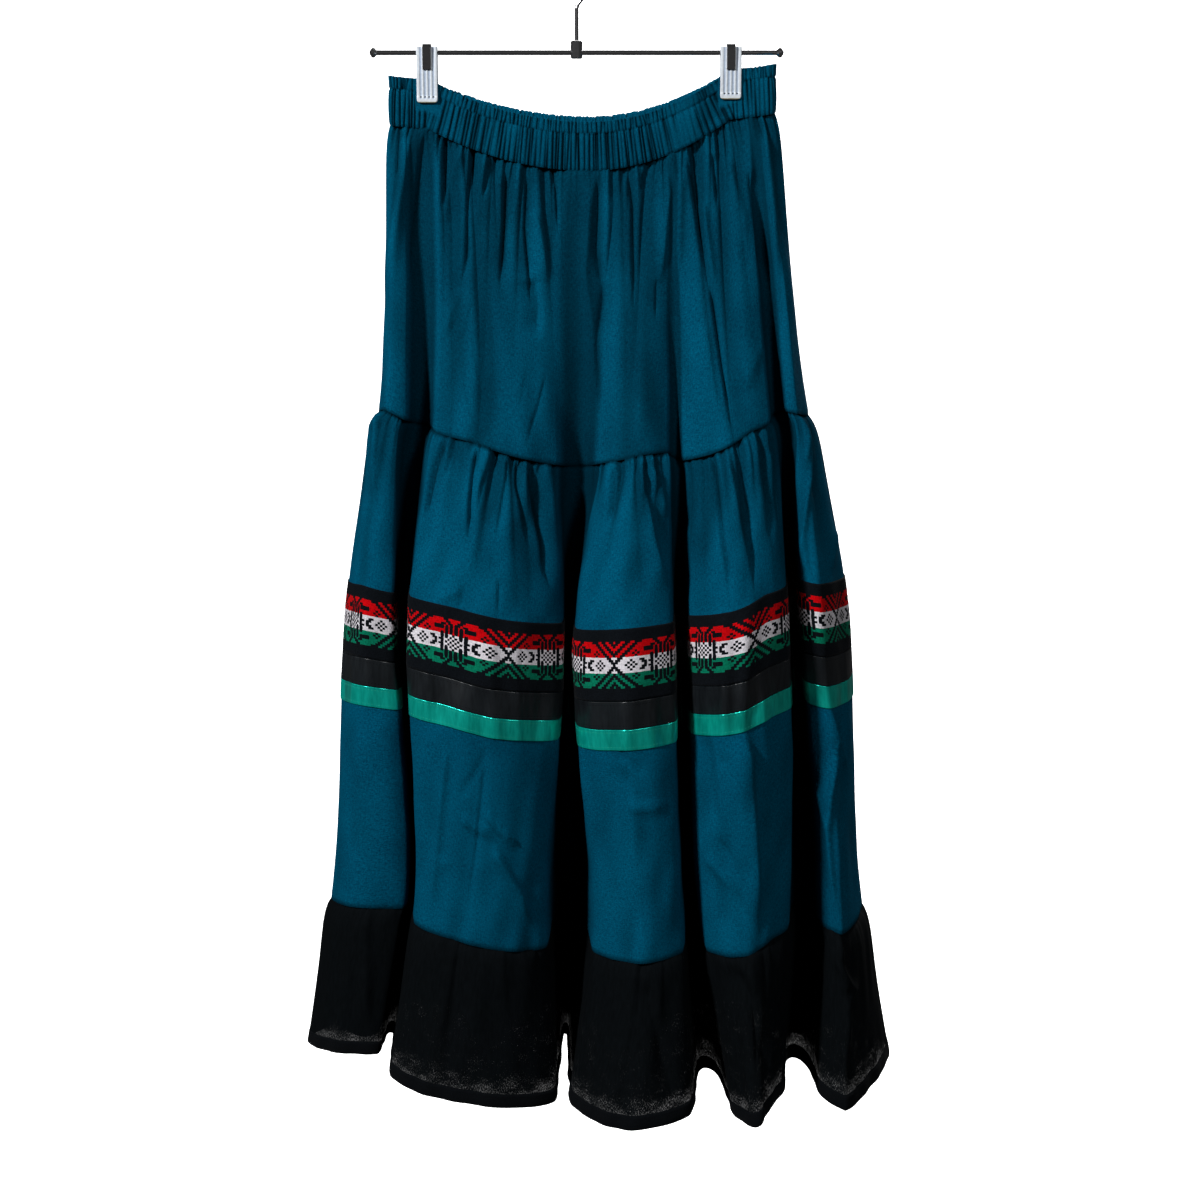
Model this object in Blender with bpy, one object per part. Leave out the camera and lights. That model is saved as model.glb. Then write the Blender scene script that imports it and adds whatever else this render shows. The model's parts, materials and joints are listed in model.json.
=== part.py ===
"""A tiered folk dance skirt that hangs by its waistband from a clip hanger.

The skirt is an elastic waistband with a ruffled header, a plain upper tier, a fuller middle tier
that carries three ribbons, and a sheer flounce. Each is cut in two, a front and a back, that meet
at the side seams. X runs along the hanger, the front faces -Y, and the origin is the inside of the
hook's top, where a rail holds it. Lengths are in metres, and in millimetres in the two tables.
"""

import math

import bpy
import numpy as np
from mathutils import Vector

MM = 0.001
GAP = 0.3 * MM  # between pieces that touch

# Lengths of the pieces, down the skirt
HEADER, CASING = 11 * MM, 31 * MM
UPPER_TIER, MIDDLE_TIER, FLOUNCE = 245 * MM, 455 * MM, 146 * MM
RIBBON_DROP = 148 * MM  # from the middle tier's top to its first ribbon
JACQUARD, BLACK_RIBBON, GREEN_RIBBON = 64.5 * MM, 25.4 * MM, 19.5 * MM

# Walls
CASING_WALL, CLOTH_WALL, GAUZE_WALL, RIBBON_WALL = 2.6 * MM, 1.8 * MM, 1.4 * MM, 1.0 * MM

# Gathers of one half, and how far they stand out
CASING_RIBS, TIER_GATHERS, FLOUNCE_WAVES = 35, 25, 10
COLUMNS = 2 * TIER_GATHERS  # of every tier, so that their seams match
RIB, HEADER_WAVE = 0.7 * MM, 1.1 * MM

# A tier's gathers of one half: how many, how far they stand out, how far down they fade, and how far
# the cloth swells out under the seam
GATHERS = {
    "upper_tier": (TIER_GATHERS, 2.6 * MM, 90 * MM, 4 * MM),
    "middle_tier": (TIER_GATHERS, 4.2 * MM, 75 * MM, 10 * MM),
    "hem_flounce": (FLOUNCE_WAVES, 2.5 * MM, 400 * MM, 8 * MM),
}
GATHER_GROWS = 20 * MM  # from a seam to where its gathers have their full height
SWELL_GROWS, SWELL_FADES = 14 * MM, 110 * MM

# The waistband: its ends, how far it stands off the middle plane, and its lowest point
WAIST_LEFT, WAIST_RIGHT = -161 * MM, 171 * MM
WAIST_END_DEPTH, WAIST_MID_DEPTH, WAIST_GRIP_DEPTH = 7 * MM, 12.5 * MM, 3.0 * MM
GRIP_FLAT, GRIP_FADE = 12 * MM, 33 * MM  # from a clip's middle to where the grip fades
WAIST_OPENS = 2.5 * MM  # how much wider the gripped band is at its foot
GRIP_HEIGHT = 30 * MM  # how far down the band stays gripped flat
WAIST_LOW_X, WAIST_LOW_Z, BACK_LOW_Z = 10 * MM, -187 * MM, -183 * MM
SIDE_Z = -144 * MM  # the casing's foot at the side seams
OUTSIDE_SLOPE = 0.35  # how the foot climbs beyond the clips
SAG_AT_HEM = 0.7  # the share of the waist's sag that reaches the hem

# The hanger
HOOK_RADIUS, HOOK_WIRE = 18 * MM, 1.7 * MM
HOOK_TIP, HOOK_FOOT, HOOK_STEP = 200, -61, -13  # angles of the bow, in degrees
HOOK_NECK = 16 * MM
BAR_Z, BAR_RADIUS, BAR_HALF = -88 * MM, 2.0 * MM, 175 * MM
BOSS_RADIUS, BOSS_TOP = 5 * MM, -78 * MM
JAW_WIDTH, JAW_THICK, JAW_TOP = 18 * MM, 2.0 * MM, -83 * MM
JAW_STRAIGHT = 24 * MM  # of its foot, below the part that leans in from the bar
LIP, LIP_OUT, JAW_CORNER = 6 * MM, 0.8 * MM, 3 * MM
SPRING_WIDTH, SPRING_THICK, SPRING_LEG = 7 * MM, 1.0 * MM, 20 * MM

# Clip: name, middle along X, foot of its jaws, casing's foot below it
CLIPS = (
    ("left", -128 * MM, -130 * MM, -152 * MM),
    ("right", 132 * MM, -127 * MM, -144 * MM),
)

# Fold: its kind; x at the casing, upper seam, ribbon, flounce seam and hem; y at the upper seam,
# ribbon and hem; and the lift of the upper seam, ribbon and hem. A row is a ridge or a valley.
FRONT_FOLDS = (
    ("left_seam", "seam", -161, -176, -204, -230, -256, 0, 0, 5, -3, -7, -2),
    ("left_lobe", "crest", -152, -167, -186, -205, -225, -38, -46, -45, 4, -2, 8),
    ("left_lobe_edge", "edge", -145, -150, -161, -158, -184, -38, -48, -50, -4, -7, 10),
    ("valley_1", "valley", -131, -137, -152, -152, -177, -12, -8, 0, -10, -6, 10),
    ("lobe_2_left", "edge", -117, -124, -143, -147, -170, -42, -78, -92, -8, 2, 12),
    ("lobe_2_crest", "crest", -92, -92, -109, -113, -134, -60, -98, -118, -4, 7, 12),
    ("lobe_2_swell", "crest", -49, -49, -55, -63, -64, -62, -102, -124, -6, 6, 12),
    ("lobe_2_right", "edge", -18, -18, -13, -28, -19, -46, -78, -98, -10, 3, 11),
    ("valley_2", "valley", 6, 1, -7, -8, -13, -22, -10, 15, -14, 2, 27),
    ("lobe_3_left", "edge", 30, 20, 0, 13, -7, -48, -82, -104, -8, -1, 10),
    ("lobe_3_crest", "crest", 54, 51, 39, 55, 42, -70, -112, -164, -2, 2, 10),
    ("lobe_3_right", "edge", 75, 79, 81, 93, 101, -54, -98, -140, -8, -1, 9),
    ("valley_3", "valley", 81, 87, 90, 104, 120, -36, -40, -35, -18, -6, 4),
    ("lobe_4_left", "edge", 88, 94, 98, 114, 138, -50, -84, -116, -20, -3, -4),
    ("lobe_4_crest", "crest", 116, 130, 138, 151, 159, -64, -108, -158, -20, -5, -8),
    ("lobe_4_right", "edge", 144, 167, 180, 188, 184, -46, -78, -110, -14, -2, -6),
    ("valley_4", "valley", 149, 175, 187, 204, 201, -16, -14, -30, -9, -2, -9),
    ("right_lobe_edge", "edge", 155, 183, 194, 219, 218, -36, -56, -104, -6, -2, -14),
    ("right_lobe", "crest", 162, 193, 211, 238, 242, -38, -62, -125, -8, -5, -18),
    ("right_seam", "seam", 171, 204, 237, 263, 292, 0, -4, -8, -14, -10, -16),
)
BACK_FOLDS = (
    ("back_lobe_1", "crest", 162, 178, 205, 232, 262, 38, 48, 44, 0, 0, 0),
    ("back_valley_1", "valley", 134, 150, 172, 190, 208, 14, 8, 10, -6, -4, 0),
    ("back_lobe_2_right", "edge", 112, 128, 150, 168, 190, 42, 72, 96, -6, -4, 0),
    ("back_lobe_2_crest", "crest", 78, 92, 110, 122, 138, 60, 102, 132, -4, -3, 0),
    ("back_lobe_2_left", "edge", 48, 54, 62, 66, 78, 44, 74, 98, -6, -4, 0),
    ("back_valley_2", "valley", 34, 40, 44, 46, 50, 20, 24, 34, -10, -8, 0),
    ("back_lobe_3_right", "edge", 20, 22, 20, 18, 14, 46, 78, 104, -6, -4, 0),
    ("back_lobe_3_crest", "crest", -10, -12, -18, -22, -28, 66, 112, 144, -2, -1, 0),
    ("back_lobe_3_left", "edge", -40, -46, -54, -60, -72, 46, 76, 102, -6, -4, 0),
    ("back_valley_3", "valley", -54, -60, -66, -72, -86, 20, 18, 30, -10, -8, 0),
    ("back_lobe_4_right", "edge", -70, -78, -90, -102, -112, 42, 74, 98, -6, -4, 0),
    ("back_lobe_4_crest", "crest", -98, -108, -122, -138, -152, 58, 98, 126, -4, -3, 0),
    ("back_lobe_4_left", "edge", -122, -134, -152, -168, -186, 40, 68, 90, -4, -3, 0),
    ("back_valley_4", "valley", -136, -148, -166, -184, -204, 14, 10, 14, -6, -4, 0),
    ("back_lobe_5", "crest", -152, -164, -188, -210, -234, 36, 46, 48, 0, 0, 0),
)
RUFFLE_SHARE = 0.35  # of the way from the ribbon's y to the hem's, at the flounce seam

# How round the cloth turns at each kind of row, and how much room its gathers have
ROUNDNESS = {"crest": 1.0, "edge": 0.5, "valley": 2.4, "seam": 1.0}
ROOM = {"crest": 1.0, "edge": 0.7, "valley": 0.0, "seam": 0.6}

FOLDS = FRONT_FOLDS + BACK_FOLDS
FRONT_ENDS = (0, len(FRONT_FOLDS) - 1)
BACK_ENDS = (len(FRONT_FOLDS) - 1, len(FOLDS))

# How far below its top each tier has a row of points, besides its ends and the ribbons
UPPER_ROWS = (22 * MM, 60 * MM, 115 * MM, 180 * MM)
MIDDLE_ROWS = (26 * MM, 80 * MM)
FLOUNCE_ROWS = (24 * MM, 75 * MM)

# How far below the casing the table's levels are
UPPER_SEAM = UPPER_TIER
RIBBON_TOP = UPPER_TIER + RIBBON_DROP
FLOUNCE_SEAM = UPPER_TIER + MIDDLE_TIER
HEM = FLOUNCE_SEAM + FLOUNCE
LEVELS = np.array((0, UPPER_SEAM, RIBBON_TOP, FLOUNCE_SEAM, HEM))


def smooth(t):
    t = min(max(t, 0.0), 1.0)
    return t * t * (3 - 2 * t)


def casing_foot(x, back=False):
    """The height of the casing's foot: it sags between the clips."""
    low = BACK_LOW_Z if back else WAIST_LOW_Z
    _, clip_x, _, clip_z = CLIPS[int(x > WAIST_LOW_X)]
    arm = (x - WAIST_LOW_X) / (clip_x - WAIST_LOW_X)
    rise = arm * arm if arm < 1 else 1 + OUTSIDE_SLOPE * (arm - 1)
    return low + (clip_z - low) * rise


def waist_depth(x, drop):
    """How far the waistband's outside stands off the middle plane, this far below its top."""
    middle = (WAIST_LEFT + WAIST_RIGHT) / 2
    across = (x - middle) / (WAIST_RIGHT - middle)
    free = WAIST_END_DEPTH + (WAIST_MID_DEPTH - WAIST_END_DEPTH) * max(0.0, 1 - across * across)
    off = min(abs(x - clip[1]) for clip in CLIPS)
    grip = 1 - smooth((off - GRIP_FLAT) / (GRIP_FADE - GRIP_FLAT))
    opened = WAIST_OPENS * smooth((drop - GRIP_HEIGHT) / (HEADER + CASING - GRIP_HEIGHT))
    return free + (WAIST_GRIP_DEPTH + opened - free) * grip


def level_values():
    """x, y and lift of each fold at each level, as an array (fold, level, value)."""
    values = np.zeros((len(FOLDS), len(LEVELS), 3))
    for i, row in enumerate(FOLDS):
        x = [v * MM for v in row[2:7]]
        y_seam, y_ribbon, y_hem, *lifts = (v * MM for v in row[7:])
        y_ruffle = y_ribbon + RUFFLE_SHARE * (y_hem - y_ribbon)
        side = np.sign(y_seam)
        y = (side * waist_depth(x[0], HEADER + CASING), y_seam, y_ribbon, y_ruffle, y_hem)
        lift = np.interp(LEVELS, (0, UPPER_SEAM, RIBBON_TOP, HEM), (0, *lifts))
        values[i] = np.array((x, y, lift)).T
    return values


VALUES = level_values()
STEPS = np.diff(LEVELS)
SECANTS = np.diff(VALUES, axis=1) / STEPS[None, :, None]
SLOPES = np.concatenate(
    (
        SECANTS[:, :1],
        (SECANTS[:, :-1] * STEPS[1:, None] + SECANTS[:, 1:] * STEPS[:-1, None])
        / (STEPS[1:] + STEPS[:-1])[:, None],
        SECANTS[:, -1:],
    ),
    axis=1,
)


def hermite(p0, m0, p1, m1, t):
    a, b = t * t * (3 - 2 * t), t * (1 - t)
    return p0 + (p1 - p0) * a + (m0 * (1 - t) - m1 * t) * b


def folds_at(fall):
    """x, y and lift of every fold, this far below the casing."""
    k = int(np.clip(np.searchsorted(LEVELS, fall, side="right") - 1, 0, len(STEPS) - 1))
    t = (fall - LEVELS[k]) / STEPS[k]
    m0, m1 = SLOPES[:, k] * STEPS[k], SLOPES[:, k + 1] * STEPS[k]
    return hermite(VALUES[:, k], m0, VALUES[:, k + 1], m1, t)


def heading(i, before, after):
    """The way the cloth runs through row i: straight across the bottom of a valley."""
    kind = FOLDS[i % len(FOLDS)][1]
    run = (after - before) / 2 * ROUNDNESS[kind]
    return run * (1, 0, 1) if kind == "valley" else run


def along(rows, t):
    """A smooth closed curve through the rows, whose whole numbers are the rows themselves."""
    i, n = math.floor(t), len(rows)
    before, p0, p1, after = (rows[(i + k) % n] for k in (-1, 0, 1, 2))
    chord = np.linalg.norm((p1 - p0)[:2])
    m0, m1 = heading(i, before, p1), heading(i + 1, p0, after)
    m0, m1 = (m * min(1.0, chord / max(np.linalg.norm(m[:2]), 1e-9)) for m in (m0, m1))
    return hermite(p0, m0, p1, m1, t - i)


def cloth(t, fall):
    """The point of the skirt's outside at place t round it, this far below the casing."""
    x, y, lift = along(folds_at(fall), t)
    waist_x = along(VALUES[:, 0], t)[0]
    back = BACK_ENDS[0] < t % len(FOLDS)
    sag = casing_foot(waist_x, back) - SIDE_Z
    z = SIDE_Z + sag * (1 - (1 - SAG_AT_HEM) * fall / HEM) - fall + lift
    return np.array((x, y, z))


def outward(t, fall):
    """The unit normal there, away from the inside of the skirt."""
    step_t, step_fall = 0.02, 2 * MM
    across = cloth(t + step_t, fall) - cloth(t - step_t, fall)
    down = cloth(t, fall + step_fall) - cloth(t, fall - step_fall)
    normal = np.cross(down, across)
    return normal / np.linalg.norm(normal)


def columns_round(ends):
    """Places round one half, with one at each fold and closer ones on short stretches."""
    first, last = ends
    lengths = []
    for i in range(first, last):
        steps = [i + k / 8 for k in range(9)]
        rings = [[along(folds_at(f), t)[:2] for t in steps] for f in (UPPER_SEAM, HEM)]
        length = sum(np.linalg.norm(np.diff(r, axis=0), axis=1).sum() for r in rings)
        lengths.append(math.sqrt(length))
    share = np.concatenate(((0,), np.cumsum(lengths) / sum(lengths)))
    marks = np.round(share * COLUMNS).astype(int)
    for i in range(1, len(marks)):
        marks[i] = max(marks[i], marks[i - 1] + 1)
    for i in range(len(marks) - 1, 0, -1):
        marks[i] = min(marks[i], COLUMNS - (len(marks) - 1 - i))
    return np.interp(range(COLUMNS + 1), marks, range(first, last + 1))


def room(t):
    """How much of their full height the gathers have at place t: none down in a valley."""
    i = math.floor(t)
    here, following = (ROOM[FOLDS[k % len(FOLDS)][1]] for k in (i, i + 1))
    return here + (following - here) * (t - i)


def gather(turns, below, height, fade):
    """The height of the gathers after this many of them: they die away downwards."""
    uneven = 1 + 0.3 * math.sin(4.6 * turns) + 0.15 * math.sin(1.4 * turns)
    grows = min(1.0, below / GATHER_GROWS)
    return height * math.cos(2 * math.pi * turns) * uneven * grows * math.exp(-below / fade)


def puff(point, fall, below, length, height):
    """How the cloth swells away from the skirt's middle under a seam, and back to nothing at the
    tier's foot."""
    rows = folds_at(fall)
    left, right = rows[FRONT_ENDS[0], 0], rows[FRONT_ENDS[1], 0]
    wide = (right - left) / 2
    deep = wide / 2
    across, out = (point[0] - (left + right) / 2) / wide, point[1] / deep
    reach = math.hypot(across, out)
    away = np.array((across / wide, out / deep, 0))
    swell = height * (1 - math.exp(-below / SWELL_GROWS)) * math.exp(-below / SWELL_FADES)
    swell *= 1 - below / length
    return away / max(np.linalg.norm(away), 1e-9) * min(1.0, reach) * swell


def sheet_points(tier, ends, falls):
    """The outside of a tier that is gathered at its top, and its normals."""
    gathers, height, fade, swell = GATHERS[tier]
    places = columns_round(ends)
    points, normals = np.zeros((2, len(falls), COLUMNS + 1, 3))
    length = falls[-1] - falls[0]
    for i, fall in enumerate(falls):
        below = fall - falls[0]
        for j, t in enumerate(places):
            base = cloth(t, fall)
            normals[i, j] = outward(t, fall)
            stands = gather(gathers * j / COLUMNS, below, height, fade) * room(t)
            swollen = puff(base, fall, below, length, swell)
            points[i, j] = base + normals[i, j] * stands + swollen
        trim_ends(points[i])
    return points, normals


def trim_ends(line):
    """Draws both ends of a row of points in, so that two halves meet with a gap."""
    for end, inner in ((0, 1), (-1, -2)):
        step = line[inner] - line[end]
        line[end] += step / np.linalg.norm(step) * GAP / 2


def material(name, colour, roughness, metallic=0.0):
    made = bpy.data.materials.new(name)
    made.use_nodes = True
    shader = made.node_tree.nodes["Principled BSDF"]
    shader.inputs["Base Color"].default_value = (*colour, 1)
    shader.inputs["Roughness"].default_value = roughness
    shader.inputs["Metallic"].default_value = metallic
    made.diffuse_color = (*colour, 1)
    return made


def add_object(name, mesh, finish, sharp=18):
    mesh.materials.append(finish)
    mesh.shade_smooth()
    mesh.set_sharp_from_angle(angle=math.radians(sharp))
    made = bpy.data.objects.new(name, mesh)
    bpy.context.scene.collection.objects.link(made)
    return made


def add_wall(name, outer, inner, finish):
    """A closed wall between two grids of points, the outer one seen with its columns anticlockwise
    from above."""
    rows, columns = outer.shape[:2]
    points = np.concatenate((outer.reshape(-1, 3), inner.reshape(-1, 3)))
    at = np.arange(2 * rows * columns).reshape(2, rows, columns)
    faces = []

    def quad(a, b, c, d):
        faces.extend(((a, b, c), (a, c, d)))

    for i in range(rows - 1):
        for j in range(columns - 1):
            a, b, c, d = at[0, i, j], at[0, i + 1, j], at[0, i + 1, j + 1], at[0, i, j + 1]
            quad(a, b, c, d)
            a, b, c, d = at[1, i, j], at[1, i + 1, j], at[1, i + 1, j + 1], at[1, i, j + 1]
            faces.extend(((a, c, b), (a, d, c)))
    for j in range(columns - 1):
        quad(at[0, 0, j + 1], at[1, 0, j + 1], at[1, 0, j], at[0, 0, j])
        quad(at[0, -1, j], at[1, -1, j], at[1, -1, j + 1], at[0, -1, j + 1])
    for i in range(rows - 1):
        quad(at[0, i, 0], at[1, i, 0], at[1, i + 1, 0], at[0, i + 1, 0])
        quad(at[0, i + 1, -1], at[1, i + 1, -1], at[1, i, -1], at[0, i, -1])
    mesh = bpy.data.meshes.new(name)
    mesh.from_pydata(points.tolist(), [], [[int(v) for v in face] for face in faces])
    mesh.update()
    return add_object(name, mesh, finish)


def make_waistband(name, side, finish):
    """One half of the elastic waistband. side is -1 in front and 1 behind."""
    count = 2 * CASING_RIBS
    turn = WAIST_END_DEPTH * math.pi / 2
    straight = WAIST_RIGHT - WAIST_LEFT - 2 * WAIST_END_DEPTH
    # Row: drop from the top, wave of the whole wall, ribs of the outside, swell of the outside
    rows = (
        (0, HEADER_WAVE, 0, 0),
        (HEADER, 0.3 * MM, 0.3 * RIB, 0),
        (HEADER + 7 * MM, 0, RIB, 1.2 * MM),
        (GRIP_HEIGHT, 0, RIB, 1.2 * MM),
        (HEADER + CASING - GAP / 2, 0, 0.5 * RIB, 0),
    )
    outer, inner = np.zeros((2, len(rows), count + 1, 3))
    for i, (drop, wave, rib, swell) in enumerate(rows):
        for j in range(count + 1):
            run = (straight + 2 * turn) * j / count
            angle = min(run, straight + 2 * turn - run) / WAIST_END_DEPTH
            if angle < math.pi / 2:
                x = WAIST_LEFT + WAIST_END_DEPTH * (1 - math.cos(angle))
                normal = np.array((-math.cos(angle), side * math.sin(angle), 0))
                x = x if run < straight else WAIST_LEFT + WAIST_RIGHT - x
                normal[0] *= 1 if run < straight else -1
                y = side * waist_depth(x, drop) * math.sin(angle)
            else:
                x = WAIST_LEFT + WAIST_END_DEPTH + run - turn
                normal = np.array((0, side, 0))
                y = side * waist_depth(x, drop)
            off = min(abs(x - clip[1]) for clip in CLIPS)
            free = smooth((off - GRIP_FLAT) / (GRIP_FADE - GRIP_FLAT))
            z = casing_foot(x, side > 0) + HEADER + CASING - drop
            base = np.array((x, y, z))
            zigzag = (-1) ** j * free
            inner[i, j] = base + normal * (zigzag * wave - CASING_WALL)
            outer[i, j] = base + normal * (zigzag * (wave + rib) + swell * free)
        trim_ends(outer[i])
        trim_ends(inner[i])
    if side > 0:
        outer, inner = outer[:, ::-1], inner[:, ::-1]
    return add_wall(name, outer, inner, finish)


def make_tier(name, sheet, wall, finish):
    """A tier of cloth, from the points and normals of its outside."""
    points, normals = sheet
    inner = points - normals * wall
    for line in inner:
        trim_ends(line)
    return add_wall(name, points, inner, finish)


def make_ribbon(name, tier, falls, top, bottom, finish):
    """A ribbon on a tier: it is made from the tier's own points between two of its rows."""
    points, normals = tier
    low, high = np.argmin(np.abs(falls - top)), np.argmin(np.abs(falls - bottom))
    margin = GAP / 2 / (falls[high] - falls[low])
    rows = []
    for part in (margin, 1 - margin):
        place = points[low] * (1 - part) + points[high] * part
        normal = normals[low] * (1 - part) + normals[high] * part
        rows.append((place + normal * GAP, normal))
    inner = np.array([place for place, _ in rows])
    outer = np.array([place + normal * RIBBON_WALL for place, normal in rows])
    return add_wall(name, outer, inner, finish)


def make_half(half, ends, side, finishes):
    """One half of the skirt, from the waist down. side is -1 in front and 1 behind."""
    make_waistband(f"waistband_{half}", side, finishes["teal"])

    falls = np.array((GAP, *UPPER_ROWS, UPPER_SEAM - GAP / 2))
    sheet = sheet_points("upper_tier", ends, falls)
    make_tier(f"upper_tier_{half}", sheet, CLOTH_WALL, finishes["teal"])

    black_top = RIBBON_TOP + JACQUARD
    green_top = black_top + BLACK_RIBBON
    ribbons_end = green_top + GREEN_RIBBON
    top, foot = UPPER_SEAM + GAP, FLOUNCE_SEAM - GAP / 2
    falls = [top, *(top + row for row in MIDDLE_ROWS)]
    falls += [RIBBON_TOP, black_top, green_top, ribbons_end]
    falls = np.array(falls + [(ribbons_end + foot) / 2, foot])
    sheet = sheet_points("middle_tier", ends, falls)
    make_tier(f"middle_tier_{half}", sheet, CLOTH_WALL, finishes["teal"])
    for name, first, last in (
        ("jacquard_ribbon", RIBBON_TOP, black_top),
        ("black_ribbon", black_top, green_top),
        ("green_ribbon", green_top, ribbons_end),
    ):
        make_ribbon(f"{name}_{half}", sheet, falls, first, last, finishes[name])

    top = FLOUNCE_SEAM + GAP
    falls = np.array((top, *(top + row for row in FLOUNCE_ROWS), HEM))
    sheet = sheet_points("hem_flounce", ends, falls)
    make_tier(f"hem_flounce_{half}", sheet, GAUZE_WALL, finishes["gauze"])


def joined(name, meshes, finish):
    """One body from overlapping shapes, by Boolean union."""
    body = add_object(name, meshes[0], finish)
    for k, mesh in enumerate(meshes[1:]):
        tool = bpy.data.objects.new(f"{name}_tool_{k}", mesh)
        bpy.context.scene.collection.objects.link(tool)
        tool.hide_render = True
        tool.display_type = "WIRE"
        union = body.modifiers.new(f"union_{k}", "BOOLEAN")
        union.operation = "UNION"
        union.object = tool
    return body


def turned(name, profile, axis, centre, sides=16):
    """A turned shape: profile is (distance along the axis, radius), with no point on the axis."""
    points, faces = [], []
    turn = Vector((0, 0, 1)).rotation_difference(axis).to_matrix()
    for along_axis, radius in profile:
        for k in range(sides):
            angle = 2 * math.pi * k / sides
            spoke = Vector((radius * math.cos(angle), radius * math.sin(angle), along_axis))
            points.append(Vector(centre) + turn @ spoke)
    for i in range(len(profile) - 1):
        for k in range(sides):
            a, b = i * sides + k, i * sides + (k + 1) % sides
            faces.append((a, b, b + sides, a + sides))
    faces.append(tuple(range(sides - 1, -1, -1)))
    faces.append(tuple(range(len(points) - sides, len(points))))
    mesh = bpy.data.meshes.new(name)
    mesh.from_pydata(points, [], faces)
    mesh.update()
    return mesh


def make_hook(finish):
    """The wire hook: round the rail, back under its own middle, and down to the bar."""
    radius = HOOK_RADIUS + HOOK_WIRE
    centre_z = -HOOK_RADIUS
    route = []
    for degrees in range(HOOK_TIP, HOOK_FOOT, HOOK_STEP):
        angle = math.radians(degrees)
        route.append((radius * math.cos(angle), centre_z + radius * math.sin(angle)))
    end_x, end_z = route[-1]
    for k in range(1, 6):
        share = k / 5
        route.append((end_x * (1 - smooth(share)), end_z - HOOK_NECK * share))
    route.append((0, BOSS_TOP + GAP))
    curve = bpy.data.curves.new("hanger_hook", "CURVE")
    curve.dimensions = "3D"
    curve.bevel_depth = HOOK_WIRE
    curve.bevel_resolution = 2
    curve.use_fill_caps = True
    spline = curve.splines.new("POLY")
    spline.points.add(len(route) - 1)
    for point, (x, z) in zip(spline.points, route):
        point.co = (x, 0, z, 1)
    curve.materials.append(finish)
    made = bpy.data.objects.new("hanger_hook", curve)
    bpy.context.scene.collection.objects.link(made)


def make_bar(finish):
    """The bar along X with a knob at each end and the boss that the hook stands on."""
    knob = 2 * MM
    profile = (
        (-BAR_HALF - knob, 1.2 * MM),
        (-BAR_HALF, BAR_RADIUS + knob),
        (-BAR_HALF + knob, BAR_RADIUS + knob),
        (-BAR_HALF + 2 * knob, BAR_RADIUS),
        (BAR_HALF - 2 * knob, BAR_RADIUS),
        (BAR_HALF - knob, BAR_RADIUS + knob),
        (BAR_HALF, BAR_RADIUS + knob),
        (BAR_HALF + knob, 1.2 * MM),
    )
    bar = turned("hanger_bar", profile, Vector((1, 0, 0)), (0, 0, BAR_Z))
    foot = BAR_Z - BOSS_RADIUS - BOSS_TOP
    boss_profile = ((foot, BOSS_RADIUS - 1 * MM), (foot + 1 * MM, BOSS_RADIUS))
    boss_profile += ((-1 * MM, BOSS_RADIUS), (0, BOSS_RADIUS - 1 * MM))
    boss = turned("hanger_boss", boss_profile, Vector((0, 0, 1)), (0, 0, BOSS_TOP))
    joined("hanger_bar", (bar, boss), finish)


def make_clip(name, x, foot, finishes):
    """A clip: two jaws on either side of the bar and the cloth, and the spring over them."""
    bar_side = BAR_RADIUS + GAP
    cloth_side = WAIST_GRIP_DEPTH + GAP
    half = JAW_WIDTH / 2
    for side, word in ((-1, "front"), (1, "back")):
        # Section: height, inner and outer y, half width
        sections = (
            (JAW_TOP, bar_side, bar_side + JAW_THICK, half),
            (foot + JAW_STRAIGHT, cloth_side, cloth_side + JAW_THICK, half),
            (foot + LIP, cloth_side, cloth_side + JAW_THICK, half),
            (foot + LIP - 1 * MM, cloth_side, cloth_side + JAW_THICK + LIP_OUT, half),
            (foot + 1 * MM, cloth_side, cloth_side + JAW_THICK + LIP_OUT, half - LIP_OUT),
            (foot, cloth_side, cloth_side + JAW_THICK - LIP_OUT / 2, half - JAW_CORNER),
        )
        points, faces = [], []
        for z, inner, outer, wide in sections:
            for dx, y in ((-wide, outer), (wide, outer), (wide, inner), (-wide, inner)):
                points.append((x + dx, side * y, z))
        for i in range(len(sections) - 1):
            for k in range(4):
                a, b = 4 * i + k, 4 * i + (k + 1) % 4
                faces.append((a, a + 4, b + 4, b))
        faces.append((0, 1, 2, 3))
        last = len(points)
        faces.append((last - 1, last - 2, last - 3, last - 4))
        if side > 0:
            faces = [face[::-1] for face in faces]
        mesh = bpy.data.meshes.new(f"clip_{name}_{word}_jaw")
        mesh.from_pydata(points, [], faces)
        mesh.update()
        add_object(mesh.name, mesh, finishes["jaw"], sharp=30)
    top = JAW_TOP + 1.2 * MM
    lean = (top - SPRING_LEG - JAW_TOP) / (foot + JAW_STRAIGHT - JAW_TOP)
    inside = bar_side + (cloth_side - bar_side) * lean + JAW_THICK + GAP
    make_spring(name, x, inside, top, finishes["steel"])


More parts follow.
